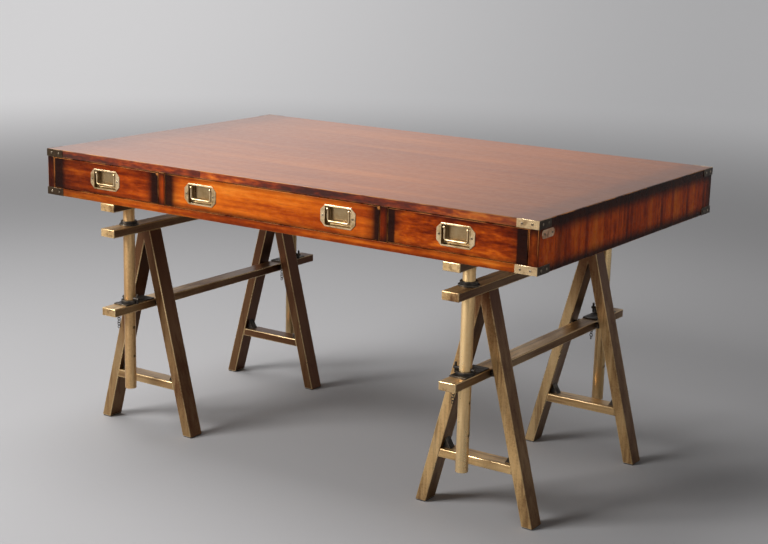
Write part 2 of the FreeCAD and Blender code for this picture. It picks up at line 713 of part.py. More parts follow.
def upper_collar(side, end):
    """A flanged ring on the upper beam."""
    foot = (f"{side} * trestle_x", along(end, "post_reach"), "upper_beam_top")
    whole = join([rod("upper_flange_radius", "upper_flange_height", foot, "+z"),
                  rod("upper_ring_radius", "upper_ring_height", foot, "+z")])
    return cut(whole, [post_hole(side, end, "upper_beam_top", "upper_ring_height")])


def lower_collar(side, end):
    """A long wear plate on the lower beam with a ring that the height pin rests on."""
    foot = (f"{side} * trestle_x", along(end, "post_reach"), "lower_beam_top")
    reach = span(end, "post_reach - wear_plate_inner", "post_reach + wear_plate_outer")
    plate = box(around(foot[0], "wear_plate_width"), [f"trestle_y + ({bound})" for bound in reach],
                ("lower_beam_top", "lower_beam_top + wear_plate_height"))
    whole = join([plate, rod("lower_ring_radius", "lower_ring_height", foot, "+z")])
    return cut(whole, [post_hole(side, end, "lower_beam_top", "lower_ring_height")])


def bolt_line(side, end, grow):
    """Radius, length, start and way of the bolt between a pair of legs, or of its hole."""
    reach = f"({inner_edge('lower_beam_middle')} + bolt_bite + {grow})"
    start = (f"{side} * trestle_x - {reach}", along(end, "legs_reach"), "lower_beam_middle")
    return f"bolt_radius + {grow}", f"2 * {reach}", start, "+x"


def nut(side, end, across):
    """A hexagon nut against the lower beam."""
    way = "+x" if across == "1" else "-x"
    start = (f"{side} * trestle_x + {across} * beam_width / 2", along(end, "legs_reach"), "lower_beam_middle")
    hexagon = bind(doc.addObject("Part::Prism", "nut"), Circumradius="nut_radius", Height="nut_height")
    hexagon.Polygon = 6
    return cut(place(hexagon, start, TURNS[way]), [rod(*bolt_line(side, end, "bolt_clearance"))])


def eye_place(side, end):
    """Middle of the screw eye under the beam, left of a post and in front of it."""
    return f"{side} * trestle_x - chain_offset", f"{along(end, 'post_reach')} - chain_setback", "eye_z"


def screw_eye(side, end):
    """The ring and shank that a chain hangs from."""
    middle = eye_place(side, end)
    shank = rod("link_wire", "eye_shank + 2 * tube_wall", moved(middle, "+z", "link_radius"), "+z")
    return join([ring("link_radius", "link_wire", middle, ACROSS_Y), shank])


def eye_hole(side, end):
    """The hole of the screw eye in its beam."""
    return rod("link_wire + link_play", "eye_shank + 2 * tube_wall + link_play",
               moved(eye_place(side, end), "+z", "link_radius"), "+z")


def chain(side, end):
    """The links under one eye, turned a quarter from each to the next."""
    links = []
    for index in range(1, int(number("chain_links")) + 1):
        middle = moved(eye_place(side, end), "-z", f"{index} * link_pitch")
        links.append(ring("link_radius", "link_wire", middle, ACROSS_X if index % 2 else ACROSS_Y))
    return links


def build_trestles():
    """The two standing frames with their iron fittings."""
    corners = [(side, end) for name, side, way in TRESTLES for word, end in ENDS]
    for name, side, way in TRESTLES:
        bolts = [rod(*bolt_line(side, end, "bolt_clearance")) for end in BOTH]
        upper_holes = [post_hole(side, end, "upper_beam_underside", "beam_height") for end in BOTH]
        lower_holes = [post_hole(side, end, "lower_beam_underside", "beam_height") for end in BOTH]
        eyes = [eye_hole(side, end) for end in BOTH]
        node(f"{name}_upper_beam", beam(side, "upper_beam_underside", upper_holes))
        node(f"{name}_lower_beam", beam(side, "lower_beam_underside", lower_holes + bolts + eyes))
        for word, end in ENDS:
            holes = [rod(*bolt_line(side, end, "bolt_clearance"))]
            node(f"{name}_{word}_legs", group([leg(side, end, lean, holes) for lean in BOTH]))
        node(f"{name}_braces", group([brace(side, end) for end in BOTH]))
    node("upper_collars", group([upper_collar(side, end) for side, end in corners]))
    node("lower_collars", group([lower_collar(side, end) for side, end in corners]))
    bolts = [rod(*bolt_line(side, end, "0")) for side, end in corners]
    nuts = [nut(side, end, across) for side, end in corners for across in BOTH]
    node("beam_bolts", group(bolts + nuts))
    node("brace_gussets", group([gusset(side, end, lean) for side, end in corners for lean in BOTH]))
    node("foot_glides", group([glide(side, end, lean) for side, end in corners for lean in BOTH]))
    node("chain_eyes", group([screw_eye(side, end) for side, end in corners]))
    node("tether_chains", group([link for side, end in corners for link in chain(side, end)]))


def check_and_write():
    """Make sure that every object is sound, then write one STEP file for each sub-part."""
    doc.recompute()
    for thing in doc.Objects:
        if "Invalid" in thing.State or "Error" in thing.State:
            raise RuntimeError(f"{thing.Label} failed: {thing.State}")
    for label, thing in nodes.items():
        if thing.Shape.isNull() or not thing.Shape.isValid():
            raise RuntimeError(f"{label} has no valid shape")
    os.makedirs("parts", exist_ok=True)
    for label, thing in nodes.items():
        thing.Shape.exportStep(f"parts/{label}.step")
        print(f"{label}: {len(thing.Shape.Solids)} solid(s), {thing.Shape.Volume / 1000:.1f} cm3")
    print(len(nodes), "sub-parts")


build_case()
build_drawers()
build_lift()
build_trestles()
check_and_write()
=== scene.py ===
"""Dresses a campaign desk: a brass-bound drawer case on two metal trestles of adjustable height.

Lengths are in metres, in the desk's own frame: +X along the desk, +Z up, the drawers face -Y,
and the origin is on the floor under the middle of the top.
"""

import json
import logging
import math
from collections.abc import Callable, Iterable, Mapping, Sequence
from dataclasses import dataclass, field, replace
from enum import Enum
from itertools import product

import bmesh
import bpy
from mathutils import Matrix, Vector

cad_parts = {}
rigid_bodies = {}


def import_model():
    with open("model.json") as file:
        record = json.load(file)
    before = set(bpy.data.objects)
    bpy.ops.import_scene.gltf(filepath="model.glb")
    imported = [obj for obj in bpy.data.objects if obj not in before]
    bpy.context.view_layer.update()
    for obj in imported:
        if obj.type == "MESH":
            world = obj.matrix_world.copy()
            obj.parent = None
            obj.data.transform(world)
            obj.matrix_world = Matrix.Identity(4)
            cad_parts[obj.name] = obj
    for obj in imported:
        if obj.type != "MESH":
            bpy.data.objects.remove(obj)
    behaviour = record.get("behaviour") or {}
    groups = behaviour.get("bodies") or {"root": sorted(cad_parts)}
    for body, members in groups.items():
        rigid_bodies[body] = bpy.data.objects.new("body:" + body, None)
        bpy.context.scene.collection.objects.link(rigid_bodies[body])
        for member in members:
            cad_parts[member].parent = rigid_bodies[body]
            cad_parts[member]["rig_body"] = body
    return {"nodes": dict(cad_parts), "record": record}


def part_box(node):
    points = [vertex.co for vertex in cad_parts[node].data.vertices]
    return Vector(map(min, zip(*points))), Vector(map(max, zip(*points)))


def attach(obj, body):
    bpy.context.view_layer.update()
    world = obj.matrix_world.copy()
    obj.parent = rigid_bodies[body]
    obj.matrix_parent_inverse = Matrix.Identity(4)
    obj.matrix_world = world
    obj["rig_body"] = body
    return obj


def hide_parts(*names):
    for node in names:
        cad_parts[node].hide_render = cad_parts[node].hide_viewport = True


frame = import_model()

Colour = tuple[float, float, float]
MM = 0.001
log = logging.getLogger("campaign_desk")


class Axis(Enum):
    """An axis of the desk's frame."""

    X = 0
    Y = 1
    Z = 2

    @property
    def others(self) -> tuple["Axis", "Axis"]:
        """The two other axes, in order."""
        first, second = (axis for axis in Axis if axis is not self)
        return first, second

    @property
    def vector(self) -> Vector:
        """The unit vector along this axis."""
        return Vector([float(axis is self) for axis in Axis])


# ------------------------------------------------------------------------------------------
# Shader maths
# ------------------------------------------------------------------------------------------

def maths(operation: str, meaning: str) -> Callable[..., "Signal"]:
    """Make an arithmetic method of a signal.

    Args:
        operation: what its Math node does.
        meaning: the method's docstring.

    Returns:
        The method, which takes the node's other values.
    """
    def method(self: "Signal", *others: "Signal | float") -> "Signal":
        """Add one Math node."""
        return self.graph.math(operation, self, *others)

    method.__doc__ = meaning
    return method


class Signal:
    """A number that varies over a surface; arithmetic on it adds Math nodes."""

    def __init__(self, graph: "Graph", socket: bpy.types.NodeSocket) -> None:
        """Wrap one output socket of a graph."""
        self.graph = graph
        self.socket = socket

    __add__ = __radd__ = maths("ADD", "Sum of both.")
    __sub__ = maths("SUBTRACT", "This less the other.")
    __mul__ = __rmul__ = maths("MULTIPLY", "Product of both.")
    __truediv__ = maths("DIVIDE", "This over the other.")
    __abs__ = maths("ABSOLUTE", "Size without its sign.")
    floor = maths("FLOOR", "Whole part.")
    root = maths("SQRT", "Square root.")
    sine = maths("SINE", "Sine.")
    least = maths("MINIMUM", "The smaller of both.")
    most = maths("MAXIMUM", "The larger of both.")
    above = maths("GREATER_THAN", "1 where this is above the other, 0 elsewhere.")

    def __rsub__(self, other: float) -> "Signal":
        """The other less this."""
        return self.graph.math("SUBTRACT", other, self)

    def rise(self, start: float, end: float) -> "Signal":
        """A soft step.

        Args:
            start: the value that gives 0.
            end: the value that gives 1; it may be below start.

        Returns:
            A signal from 0 to 1.
        """
        settings = {"interpolation_type": "SMOOTHSTEP"}
        sockets = {"Value": self, "From Min": start, "From Max": end}
        return Signal(self.graph, self.graph.node("MapRange", settings, sockets).outputs["Result"])


class Tint:
    """A colour that varies over a surface; mixing it adds Mix nodes."""

    SHARE, OWN, OTHER, MIXED = 0, 6, 7, 2

    def __init__(self, graph: "Graph", socket: bpy.types.NodeSocket) -> None:
        """Wrap one colour output of a graph."""
        self.graph = graph
        self.socket = socket

    def towards(self, other: "Tint | Colour", share: "Signal | float") -> "Tint":
        """Mix another colour in, by a share from 0 to 1."""
        sockets = {self.SHARE: share, self.OWN: self, self.OTHER: other}
        return Tint(self.graph, self.graph.node("Mix", {"data_type": "RGBA"}, sockets).outputs[self.MIXED])


Feed = Signal | Tint | bpy.types.NodeSocket | float | Sequence[float]
Stops = tuple[tuple[float, Colour], ...]


@dataclass(frozen=True)
class Texture:
    """Noise that is drawn out along a grain: features in a metre each way, and its finer layers."""

    along: float
    across: float
    detail: float = 2.0
    rough: float = 0.5


class Graph:
    """The nodes of one material, around one shader."""

    def __init__(self, name: str) -> None:
        """Start a material under a name."""
        self.material = bpy.data.materials.new(name)
        self.material.use_nodes = True
        self.tree = self.material.node_tree
        self.tree.nodes.clear()
        self.shader = self.node("BsdfPrincipled")
        self.node("OutputMaterial", sockets={"Surface": self.shader.outputs["BSDF"]})

    def node(
        self,
        kind: str,
        settings: Mapping[str, object] | None = None,
        sockets: Mapping[str | int, Feed] | None = None,
    ) -> bpy.types.Node:
        """Add a node.

        Args:
            kind: the node's type, without its ShaderNode prefix.
            settings: its properties, set first; stops are a ramp's places and colours.
            sockets: the value or link of each input.

        Returns:
            The node.
        """
        node = self.tree.nodes.new(f"ShaderNode{kind}")
        for name, value in (settings or {}).items():
            if name == "stops":
                self._set_stops(node, value)
            else:
                setattr(node, name, value)
        for name, value in (sockets or {}).items():
            self.feed(node.inputs[name], value)
        return node

    @staticmethod
    def _set_stops(node: bpy.types.Node, stops: Stops) -> None:
        """Give a colour ramp its stops."""
        elements = node.color_ramp.elements
        while len(elements) < len(stops):
            elements.new(1.0)
        for element, (place, colour) in zip(elements, stops):
            element.position = place
            element.color = (*colour, 1.0)

    def feed(self, socket: bpy.types.NodeSocket, value: Feed) -> None:
        """Link or set one input socket."""
        if isinstance(value, (Signal, Tint)):
            value = value.socket
        if isinstance(value, bpy.types.NodeSocket):
            self.tree.links.new(value, socket)
        elif socket.type == "RGBA":
            socket.default_value = (*value, 1.0)
        else:
            socket.default_value = value

    def math(self, operation: str, *values: Signal | float) -> Signal:
        """One Math node."""
        node = self.node("Math", {"operation": operation}, dict(enumerate(values)))
        return Signal(self, node.outputs[0])

    def place(self) -> tuple[Signal, Signal, Signal]:
        """Where a point of the surface is, along the three axes of the desk's frame."""
        source = self.node("TexCoord").outputs["Object"]
        parts = self.node("SeparateXYZ", sockets={"Vector": source}).outputs
        return Signal(self, parts["X"]), Signal(self, parts["Y"]), Signal(self, parts["Z"])

    def stretched(self, *parts: Signal | float) -> bpy.types.NodeSocket:
        """A vector out of three signals."""
        return self.node("CombineXYZ", sockets=dict(enumerate(parts))).outputs["Vector"]

    def cloud(
        self, spot: bpy.types.NodeSocket, scale: float, detail: float = 2.0, rough: float = 0.5
    ) -> Signal:
        """Noise about 0.5.

        Args:
            spot: where it is read.
            scale: features in a metre.
            detail: how many finer layers lie over it.
            rough: how strong the finer layers are.

        Returns:
            The noise.
        """
        sockets = {"Vector": spot, "Scale": scale, "Detail": detail, "Roughness": rough}
        return Signal(self, self.node("TexNoise", sockets=sockets).outputs["Fac"])

    def grained(self, place: Sequence[Signal], texture: Texture, grain: Axis = Axis.X) -> Signal:
        """Noise that is drawn out along one of three directions.

        Args:
            place: where it is read, along the three directions.
            texture: how fine it is.
            grain: the direction that it is drawn out along.

        Returns:
            The noise.
        """
        scales = (texture.along if axis is grain else texture.across for axis in Axis)
        spot = self.stretched(*(part * scale for part, scale in zip(place, scales)))
        return self.cloud(spot, 1.0, texture.detail, texture.rough)

    def chance(self, seed: Signal) -> Signal:
        """A random number from 0 to 1 for each whole number."""
        node = self.node("TexWhiteNoise", {"noise_dimensions": "1D"}, {"W": seed})
        return Signal(self, node.outputs["Value"])

    def mark(self, name: str) -> Signal:
        """A number that the mesh carries on its faces."""
        settings = {"attribute_type": "GEOMETRY", "attribute_name": name}
        return Signal(self, self.node("Attribute", settings).outputs["Fac"])

    def palette(self, tone: Signal, stops: Stops) -> Tint:
        """A colour for each tone, from a ramp."""
        return Tint(self, self.node("ValToRGB", {"stops": stops}, {"Fac": tone}).outputs["Color"])

    def relief(self, height: Signal, depth: float, strength: float) -> None:
        """Let a height bend the shader's normals.

        Args:
            height: the height, from 0 to 1.
            depth: what a height of 1 stands for, in metres.
            strength: how much of it shows.
        """
        sockets = {"Strength": strength, "Distance": depth, "Height": height}
        node = self.node("Bump", sockets=sockets)
        self.feed(self.shader.inputs["Normal"], node.outputs["Normal"])

    def finish(self, **values: Feed) -> bpy.types.Material:
        """Feed the shader and hand over the material.

        Args:
            values: the shader's inputs, with an underscore for each space in their names.

        Returns:
            The material.
        """
        for name, value in values.items():
            self.feed(self.shader.inputs[name.replace("_", " ")], value)
        return self.material


# ------------------------------------------------------------------------------------------
# Finishes
# ------------------------------------------------------------------------------------------

@dataclass(frozen=True)
class Fade:
    """A band across a piece that is full at one level of an axis and gone at another."""

    axis: Axis
    full: float
    gone: float
    share: float

    def over(self, place: Sequence[Signal], sway: Signal | float = 0.0) -> Signal:
        """The band's share at a place, with its edge moved by a sway."""
        return (place[self.axis.value] + sway).rise(self.gone, self.full) * self.share


@dataclass(frozen=True)
class Splice:
    """A change of tone where another piece of wood begins on a board's front edge."""

    start: float
    tone: float


@dataclass(frozen=True)
class Board:
    """One board as its finish sees it: its box, its grain, and what fades, dulls or rubs it."""

    name: str
    low: Vector
    high: Vector
    grain: Axis
    seed: float
    tone: float = 0.0
    strips: float = 0.0
    fades: tuple[Fade, ...] = ()
    splices: tuple[Splice, ...] = ()
    # Corners lightened to bare wood as painted glints.
    rubbed: tuple[Vector, ...] = ()
    dulled: tuple[Fade, ...] = ()
    calm: float = 1.0
    flecks: float = 1.0


class Figure:
    """The noises that make the figure of one board."""

    def __init__(self, graph: Graph, straight: Sequence[Signal], ring_pitch: float) -> None:
        """Lay the noises over a board.

        Args:
            graph: the material's nodes.
            straight: where a point is, along the grain, across it and through it.
            ring_pitch: distance between two growth rings.
        """
        along, across, through = straight
        bend = graph.grained(straight, Texture(1.4, 4.0)) - 0.5
        wide = across + bend * 0.05
        bent = (along, wide, through)
        self.broad = graph.grained(bent, Texture(1.5, 15.0, 4.0, 0.58))
        self.fine = graph.grained(bent, Texture(4.0, 80.0, 3.0, 0.6))
        self.curl = graph.grained(bent, Texture(34.0, 110.0, 2.0, 0.6))
        self.dark = graph.grained(bent, Texture(0.9, 24.0, 3.0)).rise(0.55, 0.7)
        self.pores = graph.grained(straight, Texture(30.0, 900.0)).rise(0.56, 0.74)
        self.shimmer = graph.grained(straight, Texture(26.0, 7.0))
        depth = through + 0.035 + bend * 0.02
        radius = (wide * wide + depth * depth).root()
        self.rings = (radius * (2.0 * math.pi / ring_pitch) + self.broad * 7.0).sine()

    def tone(self, strength: float) -> Signal:
        """How much lighter or darker the figure makes the wood."""
        bands = (self.broad - 0.5) * (1.9 * strength) + (self.fine - 0.5) * (0.7 * strength)
        return bands + self.rings * (0.035 * strength) + (self.shimmer - 0.5) * (0.2 * strength)


@dataclass(frozen=True)
class Wood:
    """A polished or waxed wood with figure, rings, pores, dark edges and rubbed arrises."""

    name: str
    stops: Stops
    streak: Colour
    # The colour of burnished edges and of painted shade in some fades.
    burnish_and_shade: Colour
    # The colour of worn arrises and of the painted corner glints.
    bare_wood_and_glint: Colour
    figure: float = 1.0
    streaks: float = 0.7
    strip_tone: float = 0.12
    strip_seam: float = 0.9 * MM
    ring_pitch: float = 0.011
    edge_dark: float = 0.45
    edge_reach: float = 0.014
    roughness: tuple[float, float] = (0.2, 0.36)
    coat: float = 0.6
    coat_roughness: float = 0.12
    relief_depth: float = 0.35 * MM
    specular: float = 0.5
    curl: float = 0.5
    rim_stops: Stops = ()
    rim_coat: float = 0.05
    rim_reach: tuple[float, float] = (1.2 * MM, 2.0 * MM)
    splice_reach: tuple[float, float] = (1.2 * MM, 0.4 * MM)
    # The reach of the painted corner glints.
    glint_reach: tuple[float, float] = (7 * MM, 3 * MM)

    def dress(self, board: Board) -> bpy.types.Material:
        """Make the material of one board."""
        graph = Graph(f"{self.name}_{board.name}")
        place = graph.place()
        along, tone, seam = self._strips(graph, board, place)
        across, through = (place[axis.value] for axis in board.grain.others)
        figure = Figure(graph, (along, across, through), self.ring_pitch)
        tone = tone + figure.tone(self.figure * board.calm)
        flecks = (figure.curl - 0.5) * (0.35 * self.curl * board.flecks)
        colour = graph.palette(tone + flecks, self.stops)
        coat: Signal | float = self.coat
        for fade in board.dulled:
            coat = coat * (1.0 - fade.over(place))
        if self.rim_stops:
            rim = place[2].rise(*(board.high.z - reach for reach in self.rim_reach))
            lively = tone + (figure.broad - 0.5) * 1.2 + (figure.curl - 0.5) * 0.8
            colour = colour.towards(graph.palette(lively, self.rim_stops), rim)
            coat = (1.0 - rim) * (coat - self.rim_coat) + self.rim_coat
        colour = colour.towards(self.streak, figure.dark * self.streaks)
        colour = colour.towards(self.streak, (figure.pores * 0.35 + seam * 0.5).least(0.8))
        spot = graph.stretched(*place)
        ragged = graph.cloud(spot, 60.0, 3.0)
        colour = self._burnish_and_shade(board, place, colour, ragged)
        # Worn holds the rubbed arrises and the painted corner glints.
        worn = self._wear_and_glints(board, place, graph.mark("worn") * graph.cloud(spot, 22.0).rise(0.36, 0.64))
        smooth, dull = self.roughness
        rough = ragged * (dull - smooth) + smooth + worn * 0.12 + figure.pores * 0.06
        height = figure.fine * 0.5 + ragged * 0.3 - figure.pores * 0.5 - seam * 0.8
        graph.relief(height, self.relief_depth, 0.35)
        return graph.finish(
            Base_Color=colour.towards(self.bare_wood_and_glint, worn * 0.55),
            Roughness=rough.least(0.9),
            Coat_Weight=coat * (1.0 - worn * 0.6),
            Coat_Roughness=self.coat_roughness,
            Specular_IOR_Level=self.specular,
        )

    def _strips(
        self, graph: Graph, board: Board, place: Sequence[Signal]
    ) -> tuple[Signal, Signal | float, Signal | float]:
        """Divide a board into strips of veneer, and its front edge into pieces.

        Args:
            graph: the material's nodes.
            board: the board.
            place: where a point is.

        Returns:
            The place along the grain, shifted from strip to strip, the tone, and the seams.
        """
        along = place[board.grain.value] + board.seed * 3.7
        tone: Signal | float = 0.5 + board.tone
        seam: Signal | float = 0.0
        if board.strips:
            run = place[1] / board.strips + board.seed
            luck = graph.chance(run.floor() + board.seed)
            along = along + luck * 9.0
            tone = tone + (luck - 0.5) * (2.0 * self.strip_tone)
            seam = abs(run - run.floor() - 0.5).rise(0.5 - self.strip_seam / board.strips, 0.5)
        if board.splices:
            front = place[1].rise(*(board.low.y + reach for reach in self.splice_reach))
            for splice in board.splices:
                tone = tone + place[0].above(splice.start) * front * splice.tone
        return along, tone, seam

    def _burnish_and_shade(self, board: Board, place: Sequence[Signal], colour: Tint, ragged: Signal) -> Tint:
        """Darken the arrises and the faded bands.

        Args:
            board: the board.
            place: where a point is.
            colour: the wood's colour so far.
            ragged: noise that frays the edges of what is dark.

        Returns:
            The darkened colour.
        """
        first, second, third = (
            (part - low).least(high - part) for part, low, high in zip(place, board.low, board.high)
        )
        arris = first.least(second).most(first.most(second).least(third))
        shade = arris.rise(self.edge_reach, 0.0) * (ragged * 0.8 + 0.6) * self.edge_dark
        colour = colour.towards(self.burnish_and_shade, shade.least(0.9))
        for fade in board.fades:
            colour = colour.towards(self.burnish_and_shade, fade.over(place, (ragged - 0.5) * (2 * MM)))
        return colour

    def _wear_and_glints(self, board: Board, place: Sequence[Signal], worn: Signal) -> Signal:
        """Add the rubbed corners to what is worn."""
        for corner in board.rubbed:
            reach = sum(((part - value) * (part - value) for part, value in zip(place, corner)), 0.0)
            worn = worn.most(reach.root().rise(*self.glint_reach))
        return worn


@dataclass(frozen=True)
class Metal:
    """A metal with patina, brushing, rubbed arrises and dark hollows."""

    name: str
    bright: Colour
    body: Colour
    tarnish: Colour
    rubbed: Colour
    # The colour of the painted shade on marked faces and in fades.
    shade: Colour = (0.05, 0.023, 0.01)
    metallic: float = 1.0
    roughness: tuple[float, float] = (0.3, 0.5)
    patches: float = 14.0
    patina: float = 0.6
    brushing: float = 0.12
    # How much painted shade the marked faces take.
    hollow: float = 0.75
    wear: float = 0.8
    relief_depth: float = 0.3 * MM
    drawn: float = 1.0
    # Streaks along the grain, lighter and darker: partly patina, partly painted reflection.
    sheen_and_patina_streaks: float = 0.0
    seed_step: tuple[float, float, float] = (1.3, 2.1, 0.7)

    def dress(
        self, piece: str, grain: Axis = Axis.Z, seed: float = 0.0, fades: tuple[Fade, ...] = ()
    ) -> bpy.types.Material:
        """Make the material of one piece.

        Args:
            piece: the piece's name.
            grain: the way that it was brushed.
            seed: shifts its patches, so that two like pieces differ.
            fades: where it is more tarnished.

        Returns:
            Its material.
        """
        graph = Graph(f"{self.name}_{piece}")
        place = graph.place()
        spot = [part + seed * step for part, step in zip(place, self.seed_step)]
        brushed = graph.grained(spot, Texture(18.0, 420.0), grain)
        smoky = graph.grained(spot, Texture(self.patches * self.drawn, self.patches, 5.0, 0.55), grain)
        speck = graph.cloud(graph.stretched(*spot), self.patches * 16.0, 3.0, 0.6)
        tone = smoky + (brushed - 0.5) * self.brushing + (speck - 0.5) * 0.25
        colour = graph.palette(tone, ((0.3, self.tarnish), (0.5, self.body), (0.72, self.bright)))
        stain = (speck.rise(0.54, 0.74) * smoky.rise(0.62, 0.4) * self.patina).least(0.9)
        colour = colour.towards(self.tarnish, stain)
        # Streaks along the grain: partly patina, partly painted reflection, darker towards the shade colour
        # and lighter towards the bright one.
        if self.sheen_and_patina_streaks:
            streak_noise = graph.grained(spot, Texture(5.0, 85.0, 3.0, 0.55), grain)
            colour = colour.towards(self.shade, streak_noise.rise(0.5, 0.68) * self.sheen_and_patina_streaks)
            colour = colour.towards(self.bright, streak_noise.rise(0.46, 0.3) * (0.7 * self.sheen_and_patina_streaks))
        # Painted shade: marked faces (sides turned from the light, recesses, slots) and the fades darken
        # towards the shade colour.
        painted_shade = graph.mark("painted_shade")
        colour = colour.towards(self.shade, painted_shade * self.hollow)
        for fade in fades:
            colour = colour.towards(self.shade, fade.over(place, (smoky - 0.5) * 0.1))
        worn = graph.mark("worn") * (smoky * 0.8 + speck * 0.2).rise(0.3, 0.6) * self.wear
        worn = worn * (1.0 - painted_shade * 0.85)
        smooth, dull = self.roughness
        rough = (1.0 - tone.rise(0.3, 0.75)) * (dull - smooth) + smooth + stain * 0.15 - worn * 0.08
        graph.relief(speck * 0.5 + brushed * 0.3 - stain * 0.4, self.relief_depth, 0.3)
        return graph.finish(
            Base_Color=colour.towards(self.rubbed, worn),
            Metallic=self.metallic - stain * (0.5 * self.metallic),
            Roughness=rough.most(0.08).least(0.95),
        )


@dataclass(frozen=True)
class Rubber:
    """Dusty black rubber."""

    name: str = "glide_rubber"
    body: Colour = (0.025, 0.024, 0.023)
    dust: Colour = (0.11, 0.1, 0.09)

    def dress(self, piece: str) -> bpy.types.Material:
        """Make the material of one piece."""
        graph = Graph(f"{self.name}_{piece}")
        spot = graph.stretched(*graph.place())
        grit = graph.cloud(spot, 900.0, 3.0)
        film = graph.cloud(spot, 60.0, 3.0)
        share = film.rise(0.4, 0.7) * 0.6 + graph.mark("worn") * 0.3
        colour = graph.palette(grit, ((0.3, self.body), (0.8, self.dust))).towards(self.dust, share)
        graph.relief(grit, 0.2 * MM, 0.5)
        return graph.finish(Base_Color=colour, Roughness=film * 0.2 + 0.65)


def ramp(*colours: Colour) -> Stops:
    """The stops of a polished wood, from its darkest tone to its palest."""
    return tuple(zip((0.12, 0.34, 0.52, 0.68, 0.9), colours))


ROSEWOOD = Wood(
    name="polished_rosewood",
    stops=ramp(
        (0.035, 0.004, 0.001), (0.14, 0.014, 0.0012), (0.33, 0.046, 0.003),
        (0.58, 0.118, 0.007), (0.8, 0.25, 0.03),
    ),
    streak=(0.035, 0.005, 0.002),
    burnish_and_shade=(0.01, 0.003, 0.002),
    bare_wood_and_glint=(0.66, 0.24, 0.06),
    figure=0.7,
    streaks=0.55,
    curl=0.8,
    coat=0.02,
    specular=0.06,
)
# A lighter, redder copy of the drawer wood, for the right end board that faces away from the key lamp:
# painted light that lifts the shaded end.
PAINTED_LIGHT_ROSEWOOD = replace(
    ROSEWOOD,
    name="painted_light_end_rosewood",
    stops=ramp(
        (0.05, 0.004, 0.001), (0.2, 0.016, 0.0012), (0.46, 0.048, 0.002),
        (0.72, 0.1, 0.004), (0.88, 0.19, 0.014),
    ),
    burnish_and_shade=(0.016, 0.004, 0.0015),
)
TABLE_TOP = Wood(
    name="table_top_rosewood",
    stops=ramp(
        (0.14, 0.029, 0.003), (0.25, 0.057, 0.005), (0.34, 0.087, 0.007),
        (0.43, 0.12, 0.01), (0.55, 0.18, 0.022),
    ),
    streak=(0.09, 0.02, 0.005),
    burnish_and_shade=(0.035, 0.01, 0.004),
    bare_wood_and_glint=(0.62, 0.27, 0.08),
    figure=0.28,
    streaks=0.1,
    strip_tone=0.035,
    edge_dark=0.3,
    edge_reach=0.01,
    roughness=(0.28, 0.42),
    coat=1.0,
    coat_roughness=0.22,
    specular=0.26,
    curl=0.3,
    rim_stops=ROSEWOOD.stops,
)
BOX_WOOD = Wood(
    name="waxed_box_wood",
    stops=(
        (0.2, (0.21, 0.115, 0.052)),
        (0.45, (0.36, 0.215, 0.105)),
        (0.6, (0.47, 0.295, 0.155)),
        (0.85, (0.6, 0.4, 0.23)),
    ),
    streak=(0.17, 0.085, 0.038),
    burnish_and_shade=(0.12, 0.065, 0.032),
    bare_wood_and_glint=(0.68, 0.5, 0.32),
    figure=0.8,
    streaks=0.3,
    edge_dark=0.2,
    edge_reach=0.006,
    roughness=(0.45, 0.62),
    coat=0.08,
    coat_roughness=0.4,
)
ANTIQUE_BRASS = Metal(
    name="antique_brass",
    bright=(0.86, 0.6, 0.3),
    body=(0.62, 0.39, 0.165),
    tarnish=(0.19, 0.095, 0.035),
    rubbed=(0.8, 0.58, 0.3),
    shade=(0.078, 0.022, 0.005),
    hollow=0.9,
    metallic=0.75,
    roughness=(0.28, 0.44),
    patches=12.0,
    drawn=0.3,
    patina=0.45,
    sheen_and_patina_streaks=0.55,
)
POST_BRASS = Metal(
    name="polished_post_brass",
    bright=(0.96, 0.7, 0.36),
    body=(0.84, 0.55, 0.25),
    tarnish=(0.5, 0.29, 0.12),
    rubbed=(0.92, 0.74, 0.46),
    metallic=0.75,
    roughness=(0.26, 0.4),
    patches=10.0,
    drawn=0.15,
    patina=0.2,
    sheen_and_patina_streaks=0.22,
)
STRAP_BRASS = Metal(
    name="strap_brass",
    bright=(0.76, 0.56, 0.31),
    body=(0.57, 0.39, 0.205),
    tarnish=(0.16, 0.09, 0.04),
    rubbed=(0.86, 0.68, 0.42),
    # The colour of the painted shade on the brackets.
    shade=(0.02, 0.009, 0.004),
    metallic=0.85,
    roughness=(0.24, 0.42),
    patches=40.0,
    patina=0.3,
    hollow=0.95,
)
BRONZE = Metal(
    name="worn_bronze",
    bright=(0.96, 0.68, 0.45),
    body=(0.82, 0.47, 0.27),
    tarnish=(0.3, 0.14, 0.07),
    rubbed=(0.95, 0.78, 0.56),
    metallic=0.7,
    roughness=(0.26, 0.44),
    patches=60.0,
)
BRIGHT_BRASS = Metal(
    name="bright_brass",
    bright=(0.86, 0.68, 0.42),
    body=(0.66, 0.48, 0.27),
    tarnish=(0.27, 0.17, 0.07),
    rubbed=(0.93, 0.77, 0.52),
    # The colour of the painted shade inside the pull recesses.
    shade=(0.22, 0.14, 0.06),
    wear=0.6,
    roughness=(0.26, 0.42),
    patches=40.0,
    patina=0.5,
)
DARK_BRASS = Metal(
    name="dark_brass",
    bright=(0.6, 0.5, 0.38),
    body=(0.2, 0.14, 0.085),
    tarnish=(0.045, 0.03, 0.022),
    rubbed=(0.85, 0.74, 0.56),
    roughness=(0.28, 0.46),
    patches=55.0,
)
BLACK_IRON = Metal(
    name="black_iron",
    bright=(0.1, 0.086, 0.07),
    body=(0.042, 0.036, 0.03),
    tarnish=(0.02, 0.016, 0.013),
    rubbed=(0.33, 0.27, 0.2),
    metallic=0.75,
    roughness=(0.38, 0.6),
    patches=60.0,
    wear=0.5,
)
RUBBER = Rubber()


# ------------------------------------------------------------------------------------------
# Shapes
# ------------------------------------------------------------------------------------------

